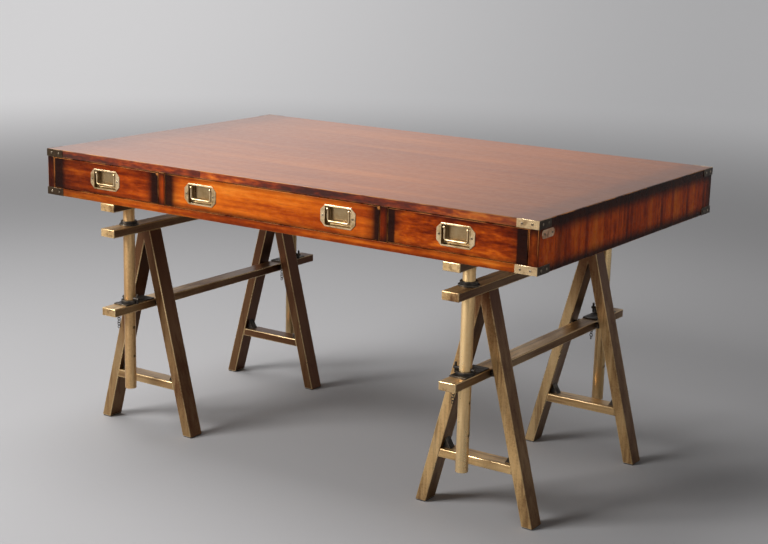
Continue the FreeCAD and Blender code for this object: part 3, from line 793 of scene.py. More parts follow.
class Form:
    """A mesh under construction. Its faces carry how worn and how aged they are."""

    RING_STEPS = 24
    WIRE_SIDES = 10

    def __init__(self) -> None:
        """Start with nothing."""
        self.mesh = bmesh.new()
        self.worn = self.mesh.faces.layers.float.new("worn")
        self.painted_shade = self.mesh.faces.layers.float.new("painted_shade")

    @classmethod
    def copied(cls, *nodes: str) -> "Form":
        """Merge a copy of the frame's own solids into clean faces.

        Args:
            nodes: the solids' names.

        Returns:
            The copy.
        """
        form = cls()
        for node in nodes:
            form.mesh.from_mesh(frame["nodes"][node].data)
        mesh = form.mesh
        bmesh.ops.remove_doubles(mesh, verts=mesh.verts, dist=0.001 * MM)
        bmesh.ops.dissolve_limit(mesh, angle_limit=math.radians(0.4), verts=mesh.verts, edges=mesh.edges)
        for face in mesh.faces:
            face.smooth = False
        return form

    def ease(
        self, width: float, segments: int = 2, shortest: float = 4 * MM, steepest: float = 100.0
    ) -> "Form":
        """Round the outer arrises; the strips that this leaves are marked as worn.

        Args:
            width: width of the rounding.
            segments: strips in it.
            shortest: edges shorter than this stay.
            steepest: edges whose faces turn by more than this, in degrees, stay.

        Returns:
            This form.
        """
        self.mesh.normal_update()
        edges = [
            edge for edge in self.mesh.edges
            if edge.is_manifold and edge.is_convex and edge.calc_length() > shortest
            and math.radians(25.0) < edge.calc_face_angle() < math.radians(steepest)
        ]
        self.bevel(edges, width, segments)
        return self

    def bevel(self, edges: Sequence[bmesh.types.BMEdge], width: float, segments: int = 2) -> None:
        """Round some edges and mark the strips as worn."""
        made = bmesh.ops.bevel(
            self.mesh, geom=list(edges), offset=width, offset_type="OFFSET", affect="EDGES",
            segments=segments, profile=0.5, material=-1, clamp_overlap=True,
        )
        for face in made["faces"]:
            face[self.worn] = 1.0
            face[self.painted_shade] = 0.0
            face.smooth = True

    def chamfer(self, spot: Vector, way: Vector) -> "Form":
        """Plane away what lies beyond a spot, and mark the new face as worn.

        Args:
            spot: a point on the cut.
            way: the way out of the form.

        Returns:
            This form.
        """
        made = self.cut(spot, way, clear=True)
        rim = [item for item in made if isinstance(item, bmesh.types.BMEdge)]
        for face in bmesh.ops.holes_fill(self.mesh, edges=rim)["faces"]:
            face[self.worn] = 1.0
        return self

    def cut(self, spot: Vector, way: Vector, clear: bool = False) -> list:
        """Divide the faces along a plane, and clear what lies beyond it if asked."""
        mesh = self.mesh
        return bmesh.ops.bisect_plane(
            mesh, geom=[*mesh.verts, *mesh.edges, *mesh.faces], dist=0.0001 * MM,
            plane_co=spot, plane_no=way, clear_outer=clear,
        )["geom_cut"]

    def block(self, low: Vector, high: Vector) -> "Form":
        """Add a block between two corners."""
        size = high - low
        place = Matrix.Translation((low + high) / 2) @ Matrix.Diagonal((*size, 1.0))
        bmesh.ops.create_cube(self.mesh, size=1.0, matrix=place)
        return self

    def disc(self, middle: Vector, way: Vector, radius: float, height: float, sides: int) -> None:
        """Add a short round bar about its middle."""
        place = Matrix.Translation(middle) @ way.to_track_quat("Z", "Y").to_matrix().to_4x4()
        bmesh.ops.create_cone(
            self.mesh, cap_ends=True, segments=sides, radius1=radius, radius2=radius, depth=height,
            matrix=place,
        )

    def ring(self, middle: Vector, way: Vector, radius: float, wire: float) -> None:
        """Add a closed ring of round wire.

        Args:
            middle: its middle.
            way: its axis.
            radius: middle of the wire.
            wire: radius of the wire.
        """
        way = way.normalized()
        outward = way.orthogonal().normalized()
        turn = Matrix((outward, way, outward.cross(way))).transposed().to_4x4()
        start = Matrix.Translation(middle + outward * radius) @ turn
        made = bmesh.ops.create_circle(self.mesh, segments=self.WIRE_SIDES, radius=wire, matrix=start)
        loop = made["verts"]
        rim = list({edge for vertex in loop for edge in vertex.link_edges})
        bmesh.ops.spin(
            self.mesh, geom=[*loop, *rim], cent=middle, axis=way, dvec=(0, 0, 0),
            angle=2 * math.pi, steps=self.RING_STEPS, use_merge=True,
        )
        for face in self.mesh.faces:
            if (face.calc_center_median() - middle).length < radius + 2 * wire:
                face.smooth = True

    def push(self, faces: Sequence[bmesh.types.BMFace], step: Vector) -> list[bmesh.types.BMFace]:
        """Pull faces out of the form, or push them into it.

        Args:
            faces: the faces that move.
            step: how far they move.

        Returns:
            The faces at their new place.
        """
        made = bmesh.ops.extrude_face_region(self.mesh, geom=list(faces))["geom"]
        corners = [item for item in made if isinstance(item, bmesh.types.BMVert)]
        bmesh.ops.translate(self.mesh, verts=corners, vec=step)
        old = [face for face in faces if face.is_valid]
        bmesh.ops.delete(self.mesh, geom=old, context="FACES")
        return [item for item in made if isinstance(item, bmesh.types.BMFace)]

    def age(self, test: Callable[[Vector], bool], share: float = 1.0) -> "Form":
        """Mark the faces whose middle passes a test as aged."""
        for face in self.mesh.faces:
            if test(face.calc_center_median()):
                face[self.painted_shade] = share
        return self

    def paint_shade_on_sides(self, way: Vector, share: float) -> "Form":
        """Mark the faces that look along a direction, either way, as aged."""
        self.mesh.normal_update()
        for face in self.mesh.faces:
            if abs(face.normal.dot(way)) > 0.7:
                face[self.painted_shade] = share
        return self

    def soften(self, most: float = 32.0) -> "Form":
        """Shade the round faces smoothly.

        Args:
            most: the largest turn between two faces of one round surface, in degrees.

        Returns:
            This form.
        """
        self.mesh.normal_update()
        for edge in self.mesh.edges:
            if edge.is_manifold:
                turn = math.degrees(edge.calc_face_angle())
                if 0.5 < turn < 20.0:
                    for face in edge.link_faces:
                        face.smooth = True
                edge.smooth = turn < most
        return self

    def add(self, other: "Form") -> "Form":
        """Take over another form's faces."""
        data = bpy.data.meshes.new("part")
        other.mesh.to_mesh(data)
        other.mesh.free()
        self.mesh.from_mesh(data)
        bpy.data.meshes.remove(data)
        return self


@dataclass
class SubAssembly:
    """Pieces that are built and dressed together."""

    def show(self, form: Form, name: str, finish: bpy.types.Material, *nodes: str) -> bpy.types.Object:
        """Make a form a piece of the desk that stands for some of the frame's solids.

        Args:
            form: the finished form, which is used up.
            name: the piece's name.
            finish: its material.
            nodes: the solids that it stands for.

        Returns:
            The piece.
        """
        data = bpy.data.meshes.new(name)
        form.mesh.to_mesh(data)
        form.mesh.free()
        data.materials.append(finish)
        piece = bpy.data.objects.new(name, data)
        bpy.context.scene.collection.objects.link(piece)
        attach(piece, frame["nodes"][nodes[0]]["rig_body"])
        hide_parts(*nodes)
        log.info("%s: %d faces, stands for %s", name, len(data.polygons), ", ".join(nodes))
        return piece

    @staticmethod
    def slot_of(node: str) -> str:
        """The record's material slot of a solid."""
        rows = frame["record"]["subparts"]
        return next(row["material_slot"] for row in rows if row["node"] == node)

    @staticmethod
    def board(node: str, grain: Axis, seed: float, **more: object) -> Board:
        """Describe the board that a solid is."""
        low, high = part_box(node)
        return Board(node, low, high, grain, seed, **more)

    def lay(self, board: Board, name: str, wood: Wood, arris: float) -> None:
        """Make a solid a board with rounded arrises."""
        self.show(Form.copied(board.name).ease(arris), name, wood.dress(board), board.name)


@dataclass
class DrawerCase(SubAssembly):
    """The fixed boards of the top with their brackets, plates and screws.

    The slots are how far the screws' slots turn from screw to screw, in radians per metre.
    """

    half_length: float = 0.75
    half_depth: float = 0.485
    height: float = 0.78
    underside: float = 0.656
    arris: float = 1.6 * MM
    seam: float = 0.7 * MM
    bracket_height: float = 20 * MM
    screw_reaches: tuple[float, float] = (16 * MM, 42 * MM)
    plate_middle: float = -0.443
    plate_screw: float = 18 * MM
    plate_drop: float = 33 * MM
    sheet: float = 1.5 * MM
    front_slots: float = 900.0
    end_slots: float = 700.0
    plate_slots: float = 300.0

    def build(self) -> None:
        """Build every piece of the case."""
        self._top()
        self._boards()
        self._brackets()
        self._screws()
        self._inside()

    def _mitred(self, node: str, sides: Iterable[int]) -> Form:
        """A board whose mitred arris is planed to a narrow flat."""
        form = Form.copied(node).ease(self.arris, 3)
        for side in sides:
            way = Vector((side, 0.0, 1.0)).normalized()
            ridge = Vector((side * self.half_length, 0.0, self.height))
            form.chamfer(ridge - way * (0.7 * self.arris), way)
        return form

    def _top(self) -> None:
        """The writing surface."""
        board = self.board(
            "top_panel", Axis.X, 2.0, strips=0.139, tone=0.02,
            splices=(Splice(-2.0, -0.26), Splice(-0.213, 0.3), Splice(0.227, 0.0), Splice(0.53, 0.08)),
            # The broad bands over the right half and over the left end are painted shade; the narrow ones
            # darken the very ends.
            fades=(
                Fade(Axis.X, -0.71, -0.6, 0.3),
                Fade(Axis.X, 0.76, 0.25, 0.42),
                Fade(Axis.X, 0.705, 0.65, 0.35),
                Fade(Axis.X, -0.76, -0.3, 0.25),
            ),
            dulled=(Fade(Axis.X, 0.8, -0.75, 0.5),),
        )
        self.show(self._mitred("top_panel", (-1, 1)), "writing_top", TABLE_TOP.dress(board), "top_panel")

    def _boards(self) -> None:
        """The boards around and between the drawers."""
        front, back = -self.half_depth, self.half_depth
        burnt_rim = (
            Fade(Axis.Z, self.height - 16 * MM, self.height - 50 * MM, 0.95),
            Fade(Axis.Z, self.underside + 5 * MM, self.underside + 34 * MM, 0.93),
            Fade(Axis.Y, back - 6 * MM, back - 50 * MM, 0.85),
            Fade(Axis.Y, front - 0.3 * MM, front + 1.5 * MM, 0.82),
        )
        # The right end board, turned from the key lamp, takes the lighter copy and a higher tone: painted
        # light.
        ends = (("left", -1, 5.0, -0.08, ROSEWOOD), ("right", 1, 6.0, 0.12, PAINTED_LIGHT_ROSEWOOD))
        for name, side, seed, tone, wood in ends:
            node = f"{name}_side_panel"
            board = self.board(node, Axis.Z, seed, strips=0.081, tone=tone, fades=burnt_rim, flecks=1.8)
            self.show(self._mitred(node, (side,)), f"{name}_end_board", wood.dress(board), node)
        rail = (Fade(Axis.X, -0.72, -0.42, 0.5), Fade(Axis.X, 0.7, 0.655, 0.3))
        uprights = (Fade(Axis.Z, 0.764, 0.735, 0.85), Fade(Axis.Z, 0.676, 0.7, 0.85))
        rows = (
            ("back_panel", "back_board", Axis.X, 7.0, -0.04, ()),
            ("front_rail", "rail_under_drawers", Axis.X, 8.4, 0.08, rail),
            ("drawer_dividers", "drawer_uprights", Axis.Z, 9.0, -0.2, uprights),
        )
        for node, name, grain, seed, tone, fades in rows:
            self.lay(self.board(node, grain, seed, tone=tone, fades=fades), name, ROSEWOOD, self.seam)

    def _brackets(self) -> None:
        """The brass corner brackets and the oval plate on each end."""
        outside = self.half_length + 0.5 * MM
        form = Form.copied("corner_brackets").ease(0.45 * MM, shortest=8 * MM)
        # The left brackets and the side wings of the right ones take painted shade.
        form.age(lambda spot: spot.x < 0 or spot.x > outside, 0.97)
        finish = STRAP_BRASS.dress("corner_brackets", Axis.X, 3.0)
        self.show(form, "corner_straps", finish, "corner_brackets")
        form = Form.copied("side_plates").ease(0.5 * MM, shortest=0.8 * MM).soften()
        self.show(form, "oval_plates", BRONZE.dress("oval_plates", Axis.Y, 1.0), "side_plates")

    def _screws(self) -> None:
        """The slotted screws of the brackets and the oval plates."""
        form = Form()
        screw = SlottedScrew()
        half = self.bracket_height / 2
        levels = (self.underside + half, self.height - half)
        for level, side, end, reach in product(levels, (-1, 1), (-1, 1), self.screw_reaches):
            spot = Vector((side * (self.half_length - reach), end * (self.half_depth + self.sheet), level))
            form.add(screw.head(spot, Vector((0, end, 0)), reach * self.front_slots))
            spot = Vector((side * (self.half_length + self.sheet), end * (self.half_depth - reach), level))
            form.add(screw.head(spot, Vector((side, 0, 0)), reach * self.end_slots))
        level = self.height - self.plate_drop
        for side, step in product((-1, 1), (-self.plate_screw, self.plate_screw)):
            spot = Vector((side * (self.half_length + self.sheet), self.plate_middle + step, level))
            form.add(screw.head(spot, Vector((side, 0, 0)), step * self.plate_slots))
        finish = DARK_BRASS.dress("bracket_screws", Axis.X, 2.0)
        self.show(form, "bracket_screw_heads", finish, "bracket_screws")

    def _inside(self) -> None:
        """The boards that show only with a drawer open or from below."""
        rows = (
            ("bottom_panel", "dust_board", Axis.X, 11.0, 0.16),
            ("drawer_runners", "drawer_runner_strips", Axis.Y, 12.0, 0.0),
            ("drawer_stops", "drawer_stop_blocks", Axis.X, 13.0, 0.0),
        )
        for node, name, grain, seed, strips in rows:
            self.lay(self.board(node, grain, seed, strips=strips), name, BOX_WOOD, self.seam)


@dataclass
class SlottedScrew:
    """The head of a small slotted wood screw."""

    radius: float = 3 * MM
    height: float = 1.2 * MM
    dome: float = 0.55 * MM
    slot: float = 0.7 * MM
    depth: float = 0.6 * MM
    lip: float = 0.35 * MM
    sides: int = 20

    def head(self, foot: Vector, way: Vector, turn: float) -> Form:
        """Make one head.

        Args:
            foot: the middle of its underside.
            way: the way that it faces.
            turn: how far the slot is turned, in radians.

        Returns:
            The head.
        """
        form = Form()
        up = Axis.Z.vector
        form.disc(up * (self.height / 2), up, self.radius, self.height, self.sides)
        form.ease(self.dome, 3, 0.5 * MM)
        for side in (-1, 1):
            form.cut(Vector((0, side * self.slot / 2, 0)), Vector((0, side, 0)))
        floor = [
            face for face in form.mesh.faces
            if abs(face.calc_center_median().y) < 0.1 * MM and face.normal.z > 0.99
        ]
        bmesh.ops.inset_region(form.mesh, faces=floor, thickness=self.lip, depth=0.0)
        # The slot's floor takes painted shade.
        for face in form.push(floor, -self.depth * up):
            face[form.painted_shade] = 1.0
        place = Matrix.Translation(foot) @ way.to_track_quat("Z", "Y").to_matrix().to_4x4()
        bmesh.ops.transform(form.mesh, matrix=place @ Matrix.Rotation(turn, 4, "Z"), verts=form.mesh.verts)
        return form


@dataclass
class FlushPull:
    """A pull plate with cut corners, a raised lip and a recess for the fingers."""

    middle: float
    width: float = 102 * MM
    height: float = 54 * MM
    corner: float = 13 * MM
    thickness: float = 2 * MM
    cup_width: float = 75 * MM
    cup_height: float = 46 * MM
    cup_depth: float = 11 * MM
    cup_round: float = 2.4 * MM
    wall: float = 1.5 * MM
    lip: float = 0.6 * MM
    lip_round: float = 0.3 * MM
    rim: float = 1.3 * MM
    slack: float = 0.1 * MM
    face: float = -0.485
    level: float = 0.718

    def build(self) -> Form:
        """Make the plate with its edges rounded, at its place on the drawer front."""
        form = self._plate()
        front = -self.thickness / 2
        outer = self.wall + self.slack
        hollow = self._creases(
            form, False, 1.0, lambda spot: spot.y > front + self.slack and self._within(spot, self.slack)
        )
        form.bevel(hollow, self.cup_round, 3)
        for face in form.mesh.faces:
            face[form.worn] = 0.0
        rim = self._creases(
            form, True, 0.6, lambda spot: spot.y < front + self.slack and not self._within(spot, outer)
        )
        form.bevel(rim, self.rim)
        lip = self._creases(form, True, 1.2, lambda spot: spot.y < front - 0.5 * self.lip)
        form.bevel(lip, self.lip_round)
        # The inside of the recess takes painted shade.
        form.age(lambda spot: spot.y > front + 0.8 * MM and self._within(spot, outer))
        place = Vector((self.middle, self.face - self.thickness / 2, self.level))
        bmesh.ops.translate(form.mesh, verts=form.mesh.verts, vec=place)
        return form

    def _plate(self) -> Form:
        """Make the sharp-edged plate with its recess, about its own middle."""
        form = Form()
        half = Vector((self.width, self.thickness, self.height)) / 2
        form.block(-half, half)
        form.mesh.normal_update()
        corners = [edge for edge in form.mesh.edges if abs(edge.verts[0].co.y - edge.verts[1].co.y) > 1 * MM]
        form.bevel(corners, self.corner, 1)
        for face in form.mesh.faces:
            face[form.worn] = 0.0
            face.smooth = False
        for grow, side in product((0.0, self.wall), (-1, 1)):
            form.cut(Vector((side * (self.cup_width / 2 + grow), 0, 0)), Vector((side, 0, 0)))
            form.cut(Vector((0, 0, side * (self.cup_height / 2 + grow))), Vector((0, 0, side)))
        cup = self._window(form, -1, 0.0)
        lip = [face for face in self._window(form, -1, self.wall) if face not in cup]
        back = self._window(form, 1, self.wall)
        form.push(cup, Vector((0, self.cup_depth + self.thickness, 0)))
        form.push(lip, Vector((0, -self.lip, 0)))
        form.push(back, Vector((0, self.cup_depth + self.wall, 0)))
        bmesh.ops.recalc_face_normals(form.mesh, faces=form.mesh.faces)
        return form

    def _within(self, spot: Vector, grow: float) -> bool:
        """Whether a spot lies in the outline of the recess, grown on all sides."""
        return abs(spot.x) < self.cup_width / 2 + grow and abs(spot.z) < self.cup_height / 2 + grow

    def _window(self, form: Form, side: int, grow: float) -> list[bmesh.types.BMFace]:
        """The faces within the grown outline, at the front for a side of -1 and the back for 1."""
        return [
            face for face in form.mesh.faces
            if face.normal.y * side > 0.9 and self._within(face.calc_center_median(), grow)
        ]

    @staticmethod
    def _creases(
        form: Form, convex: bool, turn: float, test: Callable[[Vector], bool]
    ) -> list[bmesh.types.BMEdge]:
        """Find sharp edges.

        Args:
            form: the plate.
            convex: whether they stand out, rather than lie in a hollow.
            turn: the least angle between their faces, in radians.
            test: what the middle of each has to pass.

        Returns:
            The edges.
        """
        form.mesh.normal_update()
        return [
            edge for edge in form.mesh.edges
            if edge.is_convex == convex and edge.calc_face_angle() > turn
            and test((edge.verts[0].co + edge.verts[1].co) / 2)
        ]


@dataclass
class Drawer(SubAssembly):
    """One drawer with its box, its pull plates and their screws."""

    name: str
    pulls: tuple[float, ...]
    bands: tuple[float, float]
    band_edges: tuple[float, float]
    tone: float
    seed: float
    # Whether the top right corner carries a painted glint.
    rubbed: bool = True
    calm: float = 1.0
    flecks: float = 1.0
    shaded: float = 0.0
    arris: float = 1.1 * MM
    box_arris: float = 0.8 * MM
    screw_offset: float = 43.5 * MM
    slots: float = 9.0

    def build(self) -> None:
        """Build the whole drawer."""
        self._front()
        self._box()
        self._pulls()

    def _front(self) -> None:
        """The drawer front with a burnished band at each end."""
        node = f"{self.name}_drawer_front"
        low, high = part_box(node)
        left, right = low.x + self.bands[0], high.x - self.bands[1]
        fades = (
            Fade(Axis.X, left - self.band_edges[0], left + self.band_edges[0], 0.95),
            Fade(Axis.X, right + self.band_edges[1], right - self.band_edges[1], 0.95),
            Fade(Axis.X, left, left + 30 * MM, 0.4),
            Fade(Axis.X, right, right - 30 * MM, 0.4),
            Fade(Axis.X, left, left + 230 * MM, self.shaded),
        )
        # A painted glint: a spot at the top right corner lightened to bare wood.
        corner = (Vector((high.x - 2 * MM, low.y, high.z - 2 * MM)),) if self.rubbed else ()
        board = self.board(
            node, Axis.X, self.seed, tone=self.tone, fades=fades, rubbed=corner,
            calm=self.calm, flecks=self.flecks,
        )
        self.lay(board, f"{self.name}_drawer_face", ROSEWOOD, self.arris)

    def _box(self) -> None:
        """The sides, the bottom and the back."""
        rows = (("sides", Axis.Y, 0.3, 0.0), ("bottom", Axis.X, 0.6, 0.11), ("back", Axis.X, 0.9, 0.0))
        for part, grain, step, strips in rows:
            board = self.board(f"{self.name}_drawer_{part}", grain, self.seed + step, strips=strips)
            self.lay(board, f"{self.name}_drawer_box_{part}", BOX_WOOD, self.box_arris)

    def _pulls(self) -> None:
        """The pull plates and the screws beside their recesses."""
        plates, heads = Form(), Form()
        screw = SlottedScrew()
        for middle in self.pulls:
            pull = FlushPull(middle)
            plates.add(pull.build())
            for side in (-1, 1):
                foot = Vector((middle + side * self.screw_offset, pull.face - pull.thickness, pull.level))
                heads.add(screw.head(foot, Vector((0, -1, 0)), middle * self.slots + side))
        finish = BRIGHT_BRASS.dress(f"{self.name}_pulls", Axis.X, self.seed)
        self.show(plates, f"{self.name}_pull_recess_plate", finish, f"{self.name}_pull_plate")
        finish = DARK_BRASS.dress(f"{self.name}_pull_screws", Axis.X, self.seed)
        self.show(heads, f"{self.name}_pull_screw_heads", finish, f"{self.name}_pull_screws")


@dataclass
class Bail(SubAssembly):
    """The swinging bail of one pull."""

    name: str
    seed: float

    def build(self) -> None:
        """Smooth the bent bar and dress it."""
        node = f"{self.name}_bail"
        form = Form.copied(node).ease(0.5 * MM, shortest=0.4 * MM, steepest=95.0).soften(34.0)
        self.show(form, f"{self.name}_pull_bail", BRIGHT_BRASS.dress(node, Axis.X, self.seed), node)


@dataclass
class Lift(SubAssembly):
    """What carries the case and rises with it: bearers, sliding posts and height pins."""

    side: str
    seed: float
    rear_dim: float
    arris: float = 2.2 * MM

    def build(self) -> None:
        """Build the bearer, its two posts and their pins."""
        node = f"{self.side}_bearer"
        # The bearer's sides take painted shade.
        form = Form.copied(node).paint_shade_on_sides(Axis.X.vector, 0.95).ease(self.arris, 3, 6 * MM)
        self.show(form, f"{node}_bar", ANTIQUE_BRASS.dress(node, Axis.Y, self.seed), node)
        node = f"{self.side}_posts"
        form = Form.copied(node).ease(0.9 * MM, shortest=1.6 * MM).soften()
        # The rear post is darker by painted shade.
        rear = Fade(Axis.Y, 0.1, -0.3, self.rear_dim)
        finish = POST_BRASS.dress(node, Axis.Z, self.seed, (rear,))
        self.show(form, f"{self.side}_sliding_posts", finish, node)
        for end in ("front", "rear"):
            node = f"{self.side}_{end}_height_pin"
            form = Form.copied(node).ease(0.7 * MM, shortest=0.3 * MM, steepest=95.0).soften()
            self.show(form, f"{self.side}_{end}_cross_pin", BLACK_IRON.dress(node, Axis.X, self.seed), node)


@dataclass
class Trestle(SubAssembly):
    """One standing frame: two beams, two pairs of legs and their braces."""

    side: str
    seed: float
    # Painted shade: shade_span darkens towards the top under the case, dim the whole frame, rear_dim towards
    # the rear.
    shade_span: tuple[float, float]
    dim: float
    rear_dim: float
    arris: float = 2.2 * MM

    def build(self) -> None:
        """Build the bars of the frame."""
        # Painted shade: darker towards the top, over the whole frame and towards the rear.
        shaded = Fade(Axis.Z, *self.shade_span, 0.88)
        rear_shade = Fade(Axis.Y, 0.1, -0.3, self.rear_dim)
        dim = Fade(Axis.Z, 0.0, -1.0, self.dim)
        rows = (
            ("upper_beam", "upper_beam_bar", Axis.Y, 0.9, 0.0, (rear_shade,)),
            ("lower_beam", "lower_beam_bar", Axis.Y, 0.7, 0.4, (rear_shade,)),
            ("front_legs", "front_leg_pair", Axis.Z, 0.8, 0.0, (shaded, dim)),
            ("rear_legs", "rear_leg_pair", Axis.Z, 0.8, 0.0, (shaded, rear_shade)),
            ("braces", "foot_braces", Axis.X, 0.0, 0.0, (dim, rear_shade)),
        )
        for step, (part, name, grain, sides, ends, fades) in enumerate(rows):
            node = f"{self.side}_{part}"
            # The sides and ends take painted shade.
            form = Form.copied(node).paint_shade_on_sides(Axis.X.vector, sides).paint_shade_on_sides(Axis.Y.vector, ends)
            form.ease(self.arris, 3, 6 * MM)
            finish = ANTIQUE_BRASS.dress(node, grain, self.seed + step * 0.37, fades)
            self.show(form, f"{self.side}_{name}", finish, node)


@dataclass
class Ironwork(SubAssembly):
    """The blackened fittings of both trestles, and the glides under their feet."""

    def build(self) -> None:
        """Build the collars, bolts, gussets, bearer screws and glides."""
        rows = (
            ("upper_collars", "upper_post_collars", 0.8 * MM, 3 * MM),
            ("lower_collars", "lower_wear_plates", 0.8 * MM, 3 * MM),
            ("beam_bolts", "beam_bolts_and_nuts", 0.8 * MM, 5 * MM),
            ("brace_gussets", "corner_gussets", 0.8 * MM, 5 * MM),
            ("bearer_screws", "bearer_screw_heads", 0.35 * MM, 0.8 * MM),
        )
        for step, (node, name, width, shortest) in enumerate(rows):
            form = Form.copied(node).ease(width, shortest=shortest).soften()
            self.show(form, name, BLACK_IRON.dress(node, Axis.Z, step * 0.9), node)
        form = Form.copied("foot_glides").ease(0.8 * MM)
        self.show(form, "rubber_glides", RUBBER.dress("glides"), "foot_glides")


@dataclass
class TetherChains(SubAssembly):
    """A screw eye under the lower beams beside each post, with a short chain on it."""

    columns: tuple[float, float] = (-0.55, 0.514)
    rows: tuple[float, float] = (-0.429, 0.295)
    eye_level: float = 0.3415
    radius: float = 4.5 * MM
    wire: float = 0.9 * MM
    pitch: float = 7.1 * MM
    links: int = 5
    shank: float = 8 * MM

    def build(self) -> None:
        """Build the eyes and the links."""
        eyes, links = Form(), Form()
        up, across, deep = Axis.Z.vector, Axis.X.vector, Axis.Y.vector
        for column, row in product(self.columns, self.rows):
            middle = Vector((column, row, self.eye_level))
            eyes.ring(middle, deep, self.radius, self.wire)
            top = middle + up * (self.radius + self.shank / 2)
            eyes.disc(top, up, self.wire, self.shank, Form.WIRE_SIDES)
            for index in range(1, self.links + 1):
                spot = middle - up * (index * self.pitch)
                links.ring(spot, across if index % 2 else deep, self.radius, self.wire)
        self.show(eyes.soften(60.0), "tether_eyes", BRIGHT_BRASS.dress("eyes"), "chain_eyes")
        self.show(links.soften(60.0), "tether_chain_links", BLACK_IRON.dress("chains"), "tether_chains")


# ------------------------------------------------------------------------------------------
# Studio
# ------------------------------------------------------------------------------------------

@dataclass(frozen=True)
class Lamp:
    """A soft square lamp that looks at a spot."""

    name: str
    place: Vector
    aim: Vector
    size: float
    power: float
    colour: Colour = (1.0, 1.0, 1.0)

    def build(self) -> None:
        """Hang the lamp."""
        data = bpy.data.lights.new(self.name, "AREA")
        data.shape = "SQUARE"
        data.size = self.size
        data.energy = self.power
        data.color = self.colour
        lamp = bpy.data.objects.new(self.name, data)
        lamp.location = self.place
        lamp.rotation_euler = (self.aim - self.place).to_track_quat("-Z", "Y").to_euler()
        lamp.visible_camera = False
        bpy.context.scene.collection.objects.link(lamp)


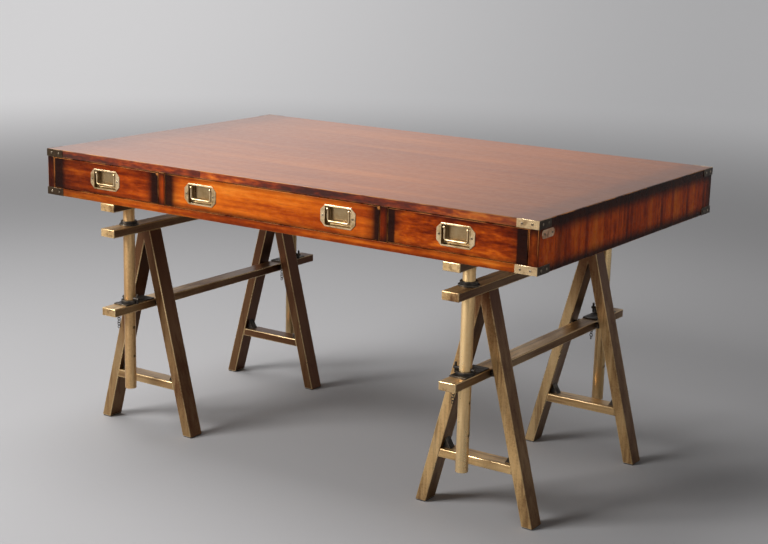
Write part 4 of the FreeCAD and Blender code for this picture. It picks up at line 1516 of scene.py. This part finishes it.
@dataclass(frozen=True)
class Studio:
    """A round pale stage, its lamps and the camera."""

    floor_reach: float = 8.0
    cove: float = 2.0
    wall: float = 7.0
    floor_tone: Colour = (0.34, 0.335, 0.34)
    glow_start: float = 3.0
    wall_dim: Colour = (0.3, 0.3, 0.305)
    wall_bright: Colour = (0.56, 0.555, 0.56)
    glow_way: tuple[float, float] = (-0.94, -0.34)
    glow_span: tuple[float, float] = (-1.0, 5.0)
    sky: float = 0.14
    position: Vector = field(default_factory=lambda: Vector((2.308, -3.4355, 1.4381)))
    azimuth: float = -33.599
    elevation: float = -13.233
    roll: float = 1.513
    focal: float = 1556.0
    frame_width: float = 768.0
    lamps: tuple[Lamp, ...] = (
        Lamp("key_lamp", Vector((-2.3, -3.8, 3.0)), Vector((0.0, 0.0, 0.5)), 2.2, 300.0),
        Lamp("top_lamp", Vector((-1.5, 0.3, 3.8)), Vector((0.0, 0.0, 0.5)), 2.6, 120.0),
        Lamp("fill_lamp", Vector((3.8, -2.2, 2.0)), Vector((0.2, 0.0, 0.4)), 2.4, 11.0),
    )

    def build(self) -> None:
        """Build the stage, the lamps and the camera."""
        self._stage()
        self._world()
        for lamp in self.lamps:
            lamp.build()
        self._camera()

    def _stage(self) -> None:
        """A floor that turns up into a round wall."""
        mesh = bmesh.new()
        middle, foot = (mesh.verts.new((reach, 0.0, 0.0)) for reach in (0.0, self.floor_reach))
        mesh.edges.new((middle, foot))
        made = bmesh.ops.spin(
            mesh, geom=[foot], cent=(self.floor_reach, 0, self.cove), axis=(0, -1, 0), dvec=(0, 0, 0),
            angle=math.pi / 2, steps=12,
        )["geom_last"]
        top = [item for item in made if isinstance(item, bmesh.types.BMVert)]
        made = bmesh.ops.extrude_vert_indiv(mesh, verts=top)["verts"]
        bmesh.ops.translate(mesh, verts=made, vec=(0.0, 0.0, self.wall))
        bmesh.ops.spin(
            mesh, geom=[*mesh.verts, *mesh.edges], cent=(0, 0, 0), axis=(0, 0, 1), dvec=(0, 0, 0),
            angle=2 * math.pi, steps=96, use_merge=True,
        )
        bmesh.ops.remove_doubles(mesh, verts=mesh.verts, dist=0.1 * MM)
        bmesh.ops.recalc_face_normals(mesh, faces=mesh.faces)
        bmesh.ops.reverse_faces(mesh, faces=mesh.faces)
        data = bpy.data.meshes.new("stage")
        mesh.to_mesh(data)
        mesh.free()
        data.shade_smooth()
        data.materials.append(self._stage_paint())
        stage = bpy.data.objects.new("stage", data)
        bpy.context.scene.collection.objects.link(stage)

    def _stage_paint(self) -> bpy.types.Material:
        """A pale floor, and a wall that looks pale to the camera and to what mirrors it."""
        graph = Graph("stage_paint")
        place = graph.place()
        wall = (place[0] * place[0] + place[1] * place[1]).root().rise(self.glow_start, self.floor_reach)
        path = graph.node("LightPath").outputs
        rays = [Signal(graph, path[f"Is {kind} Ray"]) for kind in ("Camera", "Glossy", "Transmission")]
        seen = (rays[0] + rays[1] + rays[2]).least(1.0)
        bright = (place[0] * self.glow_way[0] + place[1] * self.glow_way[1]).rise(*self.glow_span)
        glow = graph.palette(bright, ((0.0, self.wall_dim), (1.0, self.wall_bright)))
        unseen = 1.0 - wall * seen
        return graph.finish(
            Base_Color=self.floor_tone,
            Roughness=0.9,
            Emission_Color=glow.towards((0.0, 0.0, 0.0), unseen),
            Emission_Strength=1.0,
        )

    def _world(self) -> None:
        """A dim even light from everywhere."""
        world = bpy.data.worlds.new("studio_air")
        world.use_nodes = True
        world.node_tree.nodes["Background"].inputs["Color"].default_value = (self.sky,) * 3 + (1.0,)
        bpy.context.scene.world = world

    def _camera(self) -> None:
        """The camera, from its bearing, its tilt and its roll."""
        turn, tilt, roll = (math.radians(angle) for angle in (self.azimuth, self.elevation, self.roll))
        ahead = Vector((math.sin(turn) * math.cos(tilt), math.cos(turn) * math.cos(tilt), math.sin(tilt)))
        level = Vector((math.cos(turn), -math.sin(turn), 0.0))
        up = level.cross(ahead)
        across = level * math.cos(roll) + up * math.sin(roll)
        upright = up * math.cos(roll) - level * math.sin(roll)
        data = bpy.data.cameras.new("camera")
        data.sensor_width = 36.0
        data.lens = self.focal * data.sensor_width / self.frame_width
        camera = bpy.data.objects.new("camera", data)
        axes = Matrix((across, upright, -ahead)).transposed().to_4x4()
        camera.matrix_world = Matrix.Translation(self.position) @ axes
        bpy.context.scene.collection.objects.link(camera)
        bpy.context.scene.camera = camera


def main() -> None:
    """Build the desk, the studio and the size report."""
    logging.basicConfig(level=logging.INFO, format="%(name)s: %(message)s")
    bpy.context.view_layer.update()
    soft, crisp = (9 * MM, 9 * MM), (3 * MM, 3 * MM)
    pulls = ("left", "middle_left", "middle_right", "right")
    parts = (
        DrawerCase(),
        Drawer("left", (-0.5395,), (34 * MM, 27 * MM), soft, -0.2, 21.0, shaded=0.45, calm=0.9, flecks=1.3),
        Drawer("middle", (-0.213, 0.213), (29 * MM, 19 * MM), soft, 0.15, 22.0, calm=0.65, flecks=0.8),
        Drawer("right", (0.5395,), (20 * MM, 28 * MM), crisp, -0.04, 23.0, rubbed=False, flecks=2.2),
        *(Bail(name, seed * 0.8) for seed, name in enumerate(pulls)),
        Lift("left", 1.0, rear_dim=0.45),
        Trestle("left", 1.5, shade_span=(0.52, 0.1), dim=0.5, rear_dim=0.88),
        Lift("right", 2.0, rear_dim=0.1),
        Trestle("right", 2.5, shade_span=(0.57, 0.36), dim=0.0, rear_dim=0.25),
        Ironwork(),
        TetherChains(),
        Studio(),
    )
    for part in parts:
        part.build()
    bpy.context.scene.view_settings.view_transform = "Standard"


if __name__ == "__main__":
    main()
